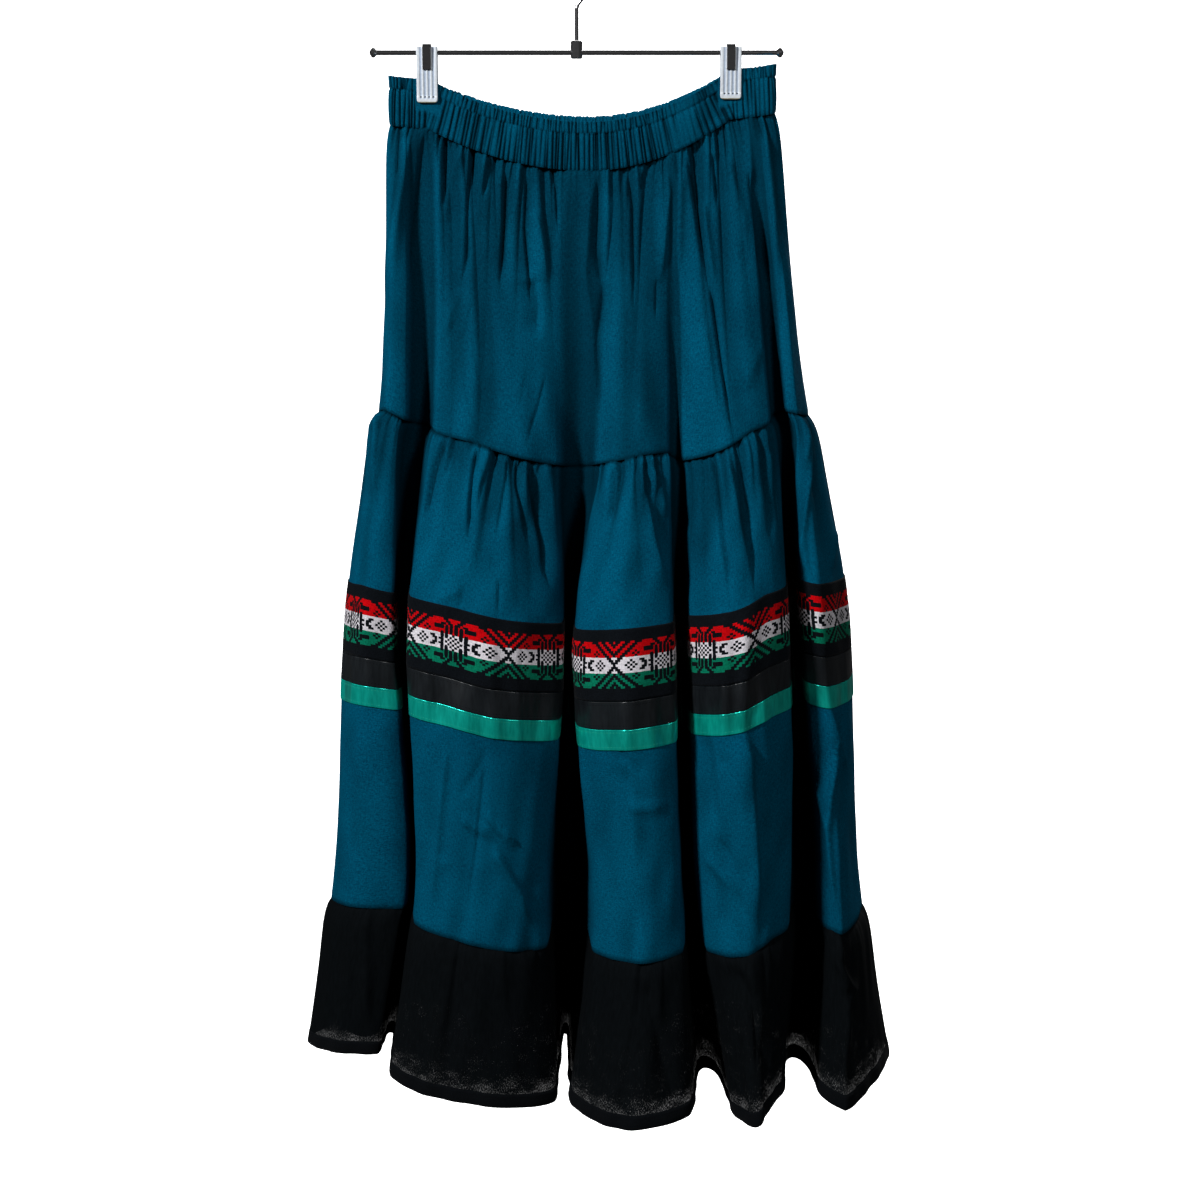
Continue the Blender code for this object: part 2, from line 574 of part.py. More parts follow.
def make_spring(name, x, inside, top, finish):
    """A strip of spring steel bent over both jaws, its legs this far off the middle plane."""
    # The strip's inner line, from the front leg's foot over the top to the back leg's
    line = [(-inside, top - SPRING_LEG), (-inside, top - 2 * MM)]
    line += [(-inside + 2 * MM, top), (inside - 2 * MM, top)]
    line += [(inside, top - 2 * MM), (inside, top - SPRING_LEG)]
    middle = Vector((0, top - SPRING_LEG / 2))
    outer = []
    for y, z in line:
        away = Vector((1 if y > 0 else -1, 1 if z > middle.y else 0))
        outer.append((y + away.x * SPRING_THICK, z + away.y * SPRING_THICK))
    points, faces = [], []
    for dx in (-SPRING_WIDTH / 2, SPRING_WIDTH / 2):
        points += [(x + dx, y, z) for y, z in line] + [(x + dx, y, z) for y, z in outer]
    n = len(line)
    for k in range(n - 1):
        faces.append((n + k, n + k + 1, k + 1, k))
        faces.append((2 * n + k, 2 * n + k + 1, 3 * n + k + 1, 3 * n + k))
        faces.append((3 * n + k, 3 * n + k + 1, n + k + 1, n + k))
        faces.append((k, k + 1, 2 * n + k + 1, 2 * n + k))
    faces.append((2 * n, 3 * n, n, 0))
    faces.append((2 * n - 1, 4 * n - 1, 3 * n - 1, n - 1))
    mesh = bpy.data.meshes.new(f"clip_{name}_spring")
    mesh.from_pydata(points, [], faces)
    mesh.update()
    add_object(mesh.name, mesh, finish)


def main():
    for obj in list(bpy.data.objects):
        bpy.data.objects.remove(obj, do_unlink=True)
    finishes = {
        "teal": material("teal_cotton", (0.0, 0.095, 0.15), 0.85),
        "jacquard_ribbon": material("jacquard_ribbon", (0.45, 0.02, 0.03), 0.7),
        "black_ribbon": material("black_satin", (0.012, 0.012, 0.014), 0.35),
        "green_ribbon": material("green_satin", (0.0, 0.19, 0.12), 0.35),
        "gauze": material("black_gauze", (0.006, 0.007, 0.009), 0.9),
        "steel": material("chrome_wire", (0.75, 0.75, 0.76), 0.2, 1.0),
        "jaw": material("clip_plate", (0.72, 0.72, 0.7), 0.4),
    }
    make_half("front", FRONT_ENDS, -1, finishes)
    make_half("back", BACK_ENDS, 1, finishes)
    make_hook(finishes["steel"])
    make_bar(finishes["steel"])
    for name, x, foot, _ in CLIPS:
        make_clip(name, x, foot, finishes)


main()
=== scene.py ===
"""The looks of a tiered dance skirt on a clip hanger: its cloth, sewing, weave and light.

Every piece lies on the surface that the solids were made from: rings through named folds, at a
level given by how far below the casing it is. Tables are in millimetres, all else in metres.
"""

import json
import math

import bpy
import numpy as np
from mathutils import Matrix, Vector

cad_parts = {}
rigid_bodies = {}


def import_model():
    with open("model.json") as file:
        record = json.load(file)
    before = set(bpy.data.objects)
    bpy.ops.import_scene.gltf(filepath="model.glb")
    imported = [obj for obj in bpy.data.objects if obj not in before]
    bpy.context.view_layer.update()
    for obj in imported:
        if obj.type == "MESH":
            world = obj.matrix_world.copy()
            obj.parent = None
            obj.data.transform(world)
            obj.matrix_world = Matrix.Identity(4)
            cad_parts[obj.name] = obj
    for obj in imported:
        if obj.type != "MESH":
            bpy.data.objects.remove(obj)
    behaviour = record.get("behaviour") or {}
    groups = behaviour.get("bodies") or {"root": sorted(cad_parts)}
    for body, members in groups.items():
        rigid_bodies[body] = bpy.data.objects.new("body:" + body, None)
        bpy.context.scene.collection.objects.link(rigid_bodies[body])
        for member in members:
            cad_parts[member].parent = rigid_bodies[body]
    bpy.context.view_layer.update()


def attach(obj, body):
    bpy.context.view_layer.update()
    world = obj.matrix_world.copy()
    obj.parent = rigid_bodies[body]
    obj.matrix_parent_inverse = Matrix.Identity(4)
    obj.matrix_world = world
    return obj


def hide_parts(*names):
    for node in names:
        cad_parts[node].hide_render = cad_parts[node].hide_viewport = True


MM = 0.001
# Seeds of the random draws; the back's is one more, and so is each tier's ten more than the last
TIER_SEED, WOVEN_SEED, BAND_SEED = 0, 5, 31

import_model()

# The surface of the solids

HEADER, CASING = 11 * MM, 31 * MM
UPPER_TIER, MIDDLE_TIER, FLOUNCE = 245 * MM, 455 * MM, 146 * MM
RIBBON_DROP = 148 * MM
JACQUARD, BLACK_RIBBON, GREEN_RIBBON = 64.5 * MM, 25.4 * MM, 19.5 * MM
WAIST_LEFT, WAIST_RIGHT = -161 * MM, 171 * MM
WAIST_END_DEPTH, WAIST_MID_DEPTH, WAIST_GRIP_DEPTH = 7 * MM, 12.5 * MM, 3.0 * MM
GRIP_FLAT, GRIP_FADE = 12 * MM, 33 * MM
WAIST_OPENS, GRIP_HEIGHT = 2.5 * MM, 30 * MM
WAIST_LOW_X, WAIST_LOW_Z, BACK_LOW_Z = 10 * MM, -187 * MM, -183 * MM
SIDE_Z = -144 * MM
OUTSIDE_SLOPE, SAG_AT_HEM = 0.35, 0.7

# Clip: middle along X, foot of its jaws, casing's foot below it
CLIPS = ((-128 * MM, -130 * MM, -152 * MM), (132 * MM, -127 * MM, -144 * MM))

# Fold: its kind; x at the casing, upper seam, ribbon, flounce seam and hem; y at the upper seam,
# ribbon and hem; and the lift of the upper seam, ribbon and hem
FOLDS = (
    ("left_seam", "seam", -161, -176, -204, -230, -256, 0, 0, 5, -3, -7, -2),
    ("left_lobe", "crest", -152, -167, -186, -205, -225, -38, -46, -45, 4, -2, 8),
    ("left_lobe_edge", "edge", -145, -150, -161, -158, -184, -38, -48, -50, -4, -7, 10),
    ("valley_1", "valley", -131, -137, -152, -152, -177, -12, -8, 0, -10, -6, 10),
    ("lobe_2_left", "edge", -117, -124, -143, -147, -170, -42, -78, -92, -8, 2, 12),
    ("lobe_2_crest", "crest", -92, -92, -109, -113, -134, -60, -98, -118, -4, 7, 12),
    ("lobe_2_swell", "crest", -49, -49, -55, -63, -64, -62, -102, -124, -6, 6, 12),
    ("lobe_2_right", "edge", -18, -18, -13, -28, -19, -46, -78, -98, -10, 3, 11),
    ("valley_2", "valley", 6, 1, -7, -8, -13, -22, -10, 15, -14, 2, 27),
    ("lobe_3_left", "edge", 30, 20, 0, 13, -7, -48, -82, -104, -8, -1, 10),
    ("lobe_3_crest", "crest", 54, 51, 39, 55, 42, -70, -112, -164, -2, 2, 10),
    ("lobe_3_right", "edge", 75, 79, 81, 93, 101, -54, -98, -140, -8, -1, 9),
    ("valley_3", "valley", 81, 87, 90, 104, 120, -36, -40, -35, -18, -6, 4),
    ("lobe_4_left", "edge", 88, 94, 98, 114, 138, -50, -84, -116, -20, -3, -4),
    ("lobe_4_crest", "crest", 116, 130, 138, 151, 159, -64, -108, -158, -20, -5, -8),
    ("lobe_4_right", "edge", 144, 167, 180, 188, 184, -46, -78, -110, -14, -2, -6),
    ("valley_4", "valley", 149, 175, 187, 204, 201, -16, -14, -30, -9, -2, -9),
    ("right_lobe_edge", "edge", 155, 183, 194, 219, 218, -36, -56, -104, -6, -2, -14),
    ("right_lobe", "crest", 162, 193, 211, 238, 242, -38, -62, -125, -8, -5, -18),
    ("right_seam", "seam", 171, 204, 237, 263, 292, 0, -4, -8, -14, -10, -16),
    ("back_lobe_1", "crest", 162, 178, 205, 232, 262, 38, 48, 44, 0, 0, 0),
    ("back_valley_1", "valley", 134, 150, 172, 190, 208, 14, 8, 10, -6, -4, 0),
    ("back_lobe_2_right", "edge", 112, 128, 150, 168, 190, 42, 72, 96, -6, -4, 0),
    ("back_lobe_2_crest", "crest", 78, 92, 110, 122, 138, 60, 102, 132, -4, -3, 0),
    ("back_lobe_2_left", "edge", 48, 54, 62, 66, 78, 44, 74, 98, -6, -4, 0),
    ("back_valley_2", "valley", 34, 40, 44, 46, 50, 20, 24, 34, -10, -8, 0),
    ("back_lobe_3_right", "edge", 20, 22, 20, 18, 14, 46, 78, 104, -6, -4, 0),
    ("back_lobe_3_crest", "crest", -10, -12, -18, -22, -28, 66, 112, 144, -2, -1, 0),
    ("back_lobe_3_left", "edge", -40, -46, -54, -60, -72, 46, 76, 102, -6, -4, 0),
    ("back_valley_3", "valley", -54, -60, -66, -72, -86, 20, 18, 30, -10, -8, 0),
    ("back_lobe_4_right", "edge", -70, -78, -90, -102, -112, 42, 74, 98, -6, -4, 0),
    ("back_lobe_4_crest", "crest", -98, -108, -122, -138, -152, 58, 98, 126, -4, -3, 0),
    ("back_lobe_4_left", "edge", -122, -134, -152, -168, -186, 40, 68, 90, -4, -3, 0),
    ("back_valley_4", "valley", -136, -148, -166, -184, -204, 14, 10, 14, -6, -4, 0),
    ("back_lobe_5", "crest", -152, -164, -188, -210, -234, 36, 46, 48, 0, 0, 0),
)
RIGHT_SEAM = 19  # the row of the right seam: the back begins there
HALVES = {"front": (0, RIGHT_SEAM), "back": (RIGHT_SEAM, len(FOLDS))}
PROBES = 60  # places probed between two rows of that table
RUFFLE_SHARE = 0.35
ROUNDNESS = {"crest": 1.0, "edge": 0.5, "valley": 2.4, "seam": 1.0}
ROOM = {"crest": 1.0, "edge": 0.8, "valley": 0.12, "seam": 0.6}
# Shade painted down the valleys between the lobes: how near a valley row it is full, over how far it
# fades, and how strong at each level
VALLEY_EDGE, VALLEY_FADE = 0.85, 0.4  # in rows of the table of folds
VALLEY_SHADE = (0.5, 0.7, 0.85, 1, 1)  # at each level, from the casing to the hem

UPPER_SEAM = UPPER_TIER
RIBBON_TOP = UPPER_TIER + RIBBON_DROP
FLOUNCE_SEAM = UPPER_TIER + MIDDLE_TIER
HEM = FLOUNCE_SEAM + FLOUNCE
LEVELS = np.array((0, UPPER_SEAM, RIBBON_TOP, FLOUNCE_SEAM, HEM))

KINDS = [row[1] for row in FOLDS]
TURNS = np.array([ROUNDNESS[kind] for kind in KINDS])
KEEPS_Y = np.array([(1.0, float(kind != "valley"), 1.0) for kind in KINDS])
ROOMS = np.array([ROOM[kind] for kind in KINDS])


def smooth(t):
    t = np.clip(t, 0.0, 1.0)
    return t * t * (3 - 2 * t)


def bell(t):
    """1 at 0, and next to nothing beyond 2."""
    return np.exp(-(t**2))


def casing_foot(x, back):
    """The height of the casing's foot: it sags between the clips."""
    low = np.where(back, BACK_LOW_Z, WAIST_LOW_Z)
    right = x > WAIST_LOW_X
    clip_x = np.where(right, CLIPS[1][0], CLIPS[0][0])
    clip_z = np.where(right, CLIPS[1][2], CLIPS[0][2])
    arm = (x - WAIST_LOW_X) / (clip_x - WAIST_LOW_X)
    rise = np.where(arm < 1, arm * arm, 1 + OUTSIDE_SLOPE * (arm - 1))
    return low + (clip_z - low) * rise


def from_clip(x):
    return np.minimum(np.abs(x - CLIPS[0][0]), np.abs(x - CLIPS[1][0]))


def waist_depth(x, drop):
    """How far the waistband's outside stands off the middle plane, this far below its top."""
    middle = (WAIST_LEFT + WAIST_RIGHT) / 2
    across = (x - middle) / (WAIST_RIGHT - middle)
    round_part = np.maximum(0.0, 1 - across * across)
    free = WAIST_END_DEPTH + (WAIST_MID_DEPTH - WAIST_END_DEPTH) * round_part
    grip = 1 - smooth((from_clip(x) - GRIP_FLAT) / (GRIP_FADE - GRIP_FLAT))
    opened = WAIST_OPENS * smooth((drop - GRIP_HEIGHT) / (HEADER + CASING - GRIP_HEIGHT))
    return free + (WAIST_GRIP_DEPTH + opened - free) * grip


def level_values():
    """x, y and lift of each fold at each level, as an array (fold, level, value)."""
    values = np.zeros((len(FOLDS), len(LEVELS), 3))
    for i, row in enumerate(FOLDS):
        x = [v * MM for v in row[2:7]]
        y_seam, y_ribbon, y_hem, *lifts = (v * MM for v in row[7:])
        y_ruffle = y_ribbon + RUFFLE_SHARE * (y_hem - y_ribbon)
        waist = np.sign(y_seam) * waist_depth(x[0], HEADER + CASING)
        lift = np.interp(LEVELS, (0, UPPER_SEAM, RIBBON_TOP, HEM), (0, *lifts))
        values[i] = np.array((x, (waist, y_seam, y_ribbon, y_ruffle, y_hem), lift)).T
    return values


VALUES = level_values()
STEPS = np.diff(LEVELS)
SECANTS = np.diff(VALUES, axis=1) / STEPS[None, :, None]
INNER_SLOPES = (SECANTS[:, :-1] * STEPS[1:, None] + SECANTS[:, 1:] * STEPS[:-1, None]) / (
    STEPS[1:] + STEPS[:-1]
)[:, None]
SLOPES = np.concatenate((SECANTS[:, :1], INNER_SLOPES, SECANTS[:, -1:]), axis=1)


def hermite(p0, m0, p1, m1, t):
    a, b = t * t * (3 - 2 * t), t * (1 - t)
    return p0 + (p1 - p0) * a + (m0 * (1 - t) - m1 * t) * b


def folds_at(fall):
    """x, y and lift of every fold, this far below the casing."""
    k = int(np.clip(np.searchsorted(LEVELS, fall, side="right") - 1, 0, len(STEPS) - 1))
    t = (fall - LEVELS[k]) / STEPS[k]
    m0, m1 = SLOPES[:, k] * STEPS[k], SLOPES[:, k + 1] * STEPS[k]
    return hermite(VALUES[:, k], m0, VALUES[:, k + 1], m1, t)


def along(rows, t):
    """A smooth closed curve through the rows, at every place of the array t."""
    i, n = np.floor(t).astype(int), len(rows)
    before, p0, p1, after = (rows[(i + k) % n] for k in (-1, 0, 1, 2))
    chord = np.linalg.norm((p1 - p0)[:, :2], axis=1)
    tangents = []
    for k, run in ((i % n, p1 - before), ((i + 1) % n, after - p0)):
        run = run / 2 * TURNS[k][:, None] * KEEPS_Y[k]
        size = np.maximum(np.linalg.norm(run[:, :2], axis=1), 1e-9)
        tangents.append(run * np.minimum(1.0, chord / size)[:, None])
    return hermite(p0, tangents[0], p1, tangents[1], (t - i)[:, None])


def ring(t, fall):
    """The skirt's outside at the places t, this far below the casing."""
    points = along(folds_at(fall), t)
    waist_x = along(VALUES[:, 0], t)[:, 0]
    back = t % len(FOLDS) > RIGHT_SEAM
    sag = casing_foot(waist_x, back) - SIDE_Z
    points[:, 2] += SIDE_Z + sag * (1 - (1 - SAG_AT_HEM) * fall / HEM) - fall
    return points


def room(t):
    """How much of their full height the gathers have at place t: hardly any in a valley."""
    i, n = np.floor(t).astype(int), len(FOLDS)
    here, following = ROOMS[i % n], ROOMS[(i + 1) % n]
    return here + (following - here) * smooth(t - i)


def in_valley(t, falls):
    """How far down a valley between two lobes the cloth lies, 0 to 1: little light gets there."""
    valleys = np.array([k for k, kind in enumerate(KINDS) if kind == "valley"])
    off = np.abs(t[:, None] - valleys).min(axis=1)
    depth = np.interp(falls, LEVELS, VALLEY_SHADE)
    return smooth((VALLEY_EDGE - off) / VALLEY_FADE)[None] * depth[:, None]


def run_of(points):
    """The length along a row of points, from its first one."""
    steps = np.linalg.norm(np.diff(points, axis=0), axis=1)
    return np.concatenate(((0.0,), np.cumsum(steps)))


def probed(half, fall):
    """Close places round one half, and the run along the skirt to each of them at this level."""
    first, last = HALVES[half]
    t = np.linspace(first, last, PROBES * (last - first) + 1)
    return t, run_of(ring(t, fall))


def even_places(half, fall, count):
    """Places round one half that divide its length at this level evenly."""
    t, run = probed(half, fall)
    return np.interp(np.linspace(0, run[-1], count + 1), run, t)


# The relief of the cloth: gathers, creases and seams, and the shade painted into them

# Shade painted along a tier's top seam and its foot: how wide, and how dark under each seam
SEAM_WIDE = 1.1 * MM
SEAM_SHADE = {"upper_tier": 0.1, "middle_tier": 0.8, "hem_flounce": 0.6}
SEAM_DRAW = {"upper_tier": 0.4, "middle_tier": 1.4, "hem_flounce": 1.4}  # in mm
# Gathers under each seam: pitch, depth, reach down and half width of each set, in mm
GATHERS = {
    "upper_tier": ((4.4, 1.6, 9, 0.8), (8, 3.6, 34, 1.5), (18, 5.6, 175, 3.2)),
    "middle_tier": ((5.0, 1.9, 9, 0.9), (11, 4.2, 32, 1.6), (24, 5.6, 95, 3.0)),
    "hem_flounce": ((8, 0.9, 8, 1.2), (26, 1.6, 60, 3.0), (64, 2.8, 240, 6.0)),
}
# How far the cloth swells out under the seam, in mm
SWELL = {"upper_tier": 4, "middle_tier": 10, "hem_flounce": 8}
SWELL_GROWS, SWELL_FADES = 14 * MM, 110 * MM
RUN_LEVEL = 10 * MM  # gathers are counted along the skirt this far below their seam
# How uneven the gathers are, as shares of each measure
GATHER_SHIFT, GATHER_DRIFT = 0.4, 0.06
GATHER_DEPTHS, GATHER_REACHES, GATHER_WIDTHS = (0.35, 1.3), (0.4, 1.7), (0.7, 1.4)
GATHER_WIDENS, GATHER_FADES, GATHER_SHARP = 1.2, 1.5, 1.25
RIPPLE, RIPPLES = 0.8 * MM, 14  # their height and number
RIPPLE_ROUND, RIPPLE_DOWN = (18, 55), (60, 260)  # shortest and longest, in mm
# Painted shade in the cloth's colour: how deep a trough is when painted darkest, how deep a crease must
# be to get any, how much is painted in gathers, creases and at a tier's foot, and at most
FULL_SHADE_DEPTH = 3.5 * MM  # depth of a trough that is at its darkest
CREASE_SHADE_DEPTH = 3.0 * MM  # a crease shallower than this isn't darkened
GATHER_SHADE, CREASE_SHADE, FOOT_SHADE, MOST_SHADE = 0.55, 0.6, 0.8, 0.8
# How far the seams draw the cloth in, and how wide: under a tier's seam, at its foot and at the
# sides, where the width is in rows of the table of folds
TOP_DRAW_WIDE, FOOT_DRAW, FOOT_DRAW_WIDE = 1.8 * MM, 1.0 * MM, 2.0 * MM
SIDE_DRAW, SIDE_DRAW_WIDE, SIDE_TAPER = 0.6 * MM, 0.03, 0.2
UNDER_SEAM = 1.0 * MM  # how far a seam allowance lies under the piece above

# Crease: its kind, height and half width, then the x, z of its points, all in mm. A step is a
# ridge (or below 0 a trough) that is gentle on its left and steep on its right.
STEP, RIDGE, TROUGH = "step", "ridge", "trough"
FRONT_CREASES = (
    (TROUGH, 2.6, 3, (-129, -149), (-136, -210), (-142, -288)),
    (RIDGE, 1.8, 4, (-140, -147), (-151, -210), (-164, -288), (-165, -330)),
    (TROUGH, 1.8, 2.5, (-146, -152), (-158, -196)),
    (TROUGH, 3.0, 2, (-115, -155), (-114, -200), (-116, -226)),
    (RIDGE, 1.6, 4, (-98, -166), (-109, -196), (-115, -235)),
    (TROUGH, 3.0, 2.6, (-88, -167), (-93, -209), (-96, -261), (-103, -295)),
    (RIDGE, 1.6, 5, (-80, -171), (-84, -210), (-88, -248)), (TROUGH, 2.4, 2.2, (-73, -172), (-80, -212)),
    (TROUGH, 3.4, 2.2, (-60, -183), (-62, -230), (-66, -290)),
    (TROUGH, 2.6, 2.2, (-42, -184), (-44, -235), (-38, -305)),
    (RIDGE, 1.4, 4, (-37, -217), (-29, -248), (-25, -287)),
    (TROUGH, 2.4, 2, (-24, -177), (-18, -200), (-15, -240)),
    (RIDGE, 1.8, 4, (13, -191), (8, -275), (17, -330), (17, -393)),
    (TROUGH, 2.8, 3, (18, -190), (15, -255), (23, -300)),
    (TROUGH, 2.0, 2.2, (29, -190), (31, -216), (23, -288)),
    (TROUGH, 2.6, 2.2, (21, -279), (17, -334), (17, -402)), (RIDGE, 1.4, 5, (38, -186), (38, -287)),
    (TROUGH, 2.8, 2, (43, -186), (46, -215), (47, -310)), (TROUGH, 2.0, 2, (57, -186), (55, -204)),
    (TROUGH, 1.6, 2.4, (70, -276), (69, -314)), (RIDGE, 1.6, 3, (74, -184), (78, -203), (72, -287)),
    (RIDGE, 1.4, 3, (89, -184), (86, -288)), (TROUGH, 3.0, 2, (94, -174), (103, -229), (115, -298)),
    (STEP, 1.6, 3, (107, -210), (119, -287)), (TROUGH, 2.6, 2, (115, -171), (120, -220)),
    (RIDGE, 1.4, 4, (125, -171), (142, -222), (147, -261)),
    (TROUGH, 2.6, 3.5, (146, -184), (152, -222), (165, -296)),
    (RIDGE, 2, 3, (159, -152), (169, -222), (174, -295)), (TROUGH, 1.6, 4, (170, -169), (185, -255)),
    (RIDGE, 0.9, 2.5, (-101, -285), (-113, -320), (-119, -332)),
    (TROUGH, 1.2, 2, (-91, -297), (-97, -324), (-108, -335)), (TROUGH, 1.1, 2, (-91, -326), (-83, -368)),
    (TROUGH, 1.3, 2, (-100, -343), (-97, -372), (-87, -404)),
    (STEP, -1.6, 4, (-37, -275), (-33, -301), (-34, -332)), (TROUGH, 0.9, 3, (-42, -353), (-51, -392)),
    (TROUGH, 1.3, 2, (-27, -360), (-33, -385), (-45, -420)),
    (TROUGH, 3.0, 1.6, (113, -280), (123, -346), (135, -412)),
    (STEP, 1.2, 3, (111, -312), (120, -379), (132, -410)), (STEP, 0.8, 6, (160, -333), (141, -375)),
    (TROUGH, 1.2, 2.4, (172, -284), (179, -320)),
    # On the middle tier, above the ribbons
    (RIDGE, 1.8, 3, (-167, -390), (-178, -411), (-188, -450)),
    (STEP, 1.4, 4, (-163, -388), (-164, -409), (-176, -467)),
    (TROUGH, 3.4, 2, (-115, -411), (-122, -437), (-135, -491)),
    (TROUGH, 2.2, 1.8, (-106, -412), (-115, -449)), (TROUGH, 1.8, 1.8, (-93, -413), (-93, -426)),
    (TROUGH, 3.4, 2.2, (-85, -415), (-90, -462), (-92, -504)),
    (RIDGE, 1.4, 5, (-80, -430), (-86, -496), (-92, -529)),
    (TROUGH, 2.2, 2.2, (-70, -418), (-80, -451), (-85, -475)),
    (TROUGH, 2.0, 1.6, (-59, -423), (-59, -444), (-69, -498)),
    (TROUGH, 3.0, 1.8, (-50, -425), (-50, -449), (-38, -503)), (RIDGE, 1.2, 3, (-44, -434), (-37, -489)),
    (TROUGH, 3.6, 2, (-37, -430), (-38, -445), (-28, -502), (-27, -521), (-20, -544)),
    (TROUGH, 1.0, 4, (-75, -515), (-56, -516)), (RIDGE, 0.9, 2.4, (-98, -536), (-121, -548)),
    (TROUGH, 1.2, 2, (-95, -532), (-102, -556)), (TROUGH, 1.8, 1.6, (-66, -528), (-67, -558)),
    (TROUGH, 1, 3, (-47, -555), (-27, -560)), (TROUGH, 3.0, 2, (30, -433), (26, -474), (22, -490)),
    (TROUGH, 1.8, 1.6, (43, -429), (42, -440)),
    (STEP, 2.2, 3, (53, -430), (60, -468), (66, -500), (78, -538)),
    (TROUGH, 2.0, 1.8, (59, -430), (63, -452)), (RIDGE, 1.4, 3, (64, -433), (79, -482)),
    (TROUGH, 3.0, 2.2, (113, -420), (118, -465), (128, -522), (131, -552)),
    (STEP, 2.4, 3, (126, -421), (138, -479), (148, -531)),
    (TROUGH, 2.4, 1.6, (137, -419), (147, -479), (153, -546)),
    (TROUGH, 2.2, 2.2, (158, -412), (163, -466), (165, -499)),
    (TROUGH, 1.4, 1.6, (165, -412), (167, -426)),
    (RIDGE, 1.8, 1.8, (193, -391), (195, -400), (194, -447)),
    (RIDGE, 1.8, 1.8, (197, -394), (199, -447), (194, -515), (195, -538)),
    (RIDGE, 1.2, 1.8, (196, -498), (200, -531)), (TROUGH, 1.4, 2.5, (205, -407), (212, -471)),
    (RIDGE, 1, 2.4, (229, -498), (222, -534)),
    # On the ribbons
    (TROUGH, 1.2, 4, (-122, -570), (-122, -670)), (STEP, 1.6, 6, (-73, -570), (-73, -680)),
    (TROUGH, 1.2, 4, (-48, -580), (-46, -680)), (STEP, 1.6, 5, (128, -550), (130, -660)),
    (RIDGE, 1.2, 4, (142, -550), (144, -660)),
    # On the middle tier, below the ribbons
    (RIDGE, 1.0, 2.4, (-112, -671), (-120, -742), (-131, -843)),
    (TROUGH, 1.6, 1.6, (-77, -673), (-87, -693), (-107, -724)),
    (TROUGH, 1.6, 1.6, (-79, -682), (-84, -724), (-88, -763), (-98, -830)),
    (RIDGE, 1.7, 2.0, (-101, -739), (-88, -746), (-71, -750)),
    (RIDGE, 1.7, 2.0, (-80, -731), (-71, -744), (-49, -766)),
    (RIDGE, 2.4, 2.6, (-75, -763), (-51, -810), (-38, -843)),
    (RIDGE, 0.9, 2, (-124, -784), (-109, -780)), (STEP, -1.2, 5, (42, -685), (43, -749), (44, -793)),
    (TROUGH, 1.8, 2.2, (34, -676), (47, -686), (60, -697)), (RIDGE, 1.2, 3, (42, -723), (82, -725)),
    (TROUGH, 1.0, 2.5, (67, -725), (84, -733)), (TROUGH, 1.0, 4, (16, -749), (25, -823)),
    (TROUGH, 1.0, 4, (55, -797), (64, -855)), (STEP, -1.4, 3, (114, -663), (120, -726), (122, -758)),
    (TROUGH, 1.4, 2.4, (119, -686), (135, -688)),
    (STEP, 2.6, 3.5, (141, -653), (149, -680), (151, -715), (159, -853)),
    (TROUGH, 2.0, 2.8, (121, -760), (132, -772), (144, -799)), (RIDGE, 1.4, 3, (114, -775), (135, -799)),
    (TROUGH, 1.6, 2.8, (135, -800), (156, -843)), (TROUGH, 1.6, 2.4, (124, -801), (127, -846)),
    (RIDGE, 2.1, 1.6, (222, -644), (228, -684), (225, -729), (224, -764), (229, -825), (237, -852)),
    (RIDGE, 1.6, 1.6, (228, -673), (241, -713)), (RIDGE, 1.5, 2, (213, -720), (225, -770)),
    (TROUGH, 1.4, 2.4, (205, -711), (215, -721)),
    # On the flounce
    (TROUGH, 1.4, 2.5, (-203, -841), (-206, -910)),
    (RIDGE, 1.4, 4, (-187, -841), (-193, -916), (-190, -973)),
    (TROUGH, 1.6, 2.6, (-105, -858), (-121, -965)), (STEP, -2.4, 5, (61, -873), (66, -907), (92, -1001)),
    (STEP, -2.2, 5, (133, -866), (151, -897), (172, -974)),
    (RIDGE, 2.0, 3, (234, -855), (232, -879), (246, -906), (241, -917), (241, -973)),
)
BACK_CREASES = (
    (TROUGH, 2.8, 2.4, (-96, -160), (-101, -230), (-106, -300)),
    (TROUGH, 3.0, 2.2, (-62, -172), (-60, -240), (-66, -330)),
    (TROUGH, 2.4, 2.2, (-28, -178), (-24, -260)), (TROUGH, 2.8, 2.4, (6, -182), (2, -250), (-4, -320)),
    (TROUGH, 2.6, 2.2, (58, -176), (66, -250), (68, -300)), (RIDGE, 1.6, 4, (84, -172), (88, -290)),
    (TROUGH, 2.8, 2.4, (102, -166), (112, -250), (118, -310)),
    (TROUGH, 3.0, 2.2, (-118, -400), (-128, -480)), (TROUGH, 3.2, 2.0, (-84, -412), (-92, -520)),
    (STEP, 2.0, 3, (-30, -420), (-40, -480), (-36, -540)), (TROUGH, 2.8, 2.0, (-4, -424), (-10, -500)),
    (TROUGH, 2.6, 2.2, (70, -420), (80, -500), (84, -540)), (STEP, -2.0, 3, (112, -410), (122, -520)),
    (RIDGE, 1.6, 2.2, (-140, -690), (-120, -760), (-130, -830)),
    (TROUGH, 1.8, 2.4, (-20, -680), (-34, -740), (-28, -820)), (RIDGE, 1.8, 2.2, (-44, -730), (4, -770)),
    (STEP, 2.0, 3.5, (100, -680), (116, -760), (112, -840)),
    (TROUGH, 1.6, 2.4, (140, -720), (112, -780)), (STEP, -2.0, 5, (-130, -866), (-142, -980)),
    (RIDGE, 1.8, 3, (-30, -860), (-22, -960)), (STEP, 2.0, 5, (120, -866), (134, -970)),
)
CREASES = {"front": FRONT_CREASES, "back": BACK_CREASES}
RIDGE_GAIN, TROUGH_GAIN = 2.5, 1.9
RIDGE_SHARP, TROUGH_SHARP = 1.7, 1.1
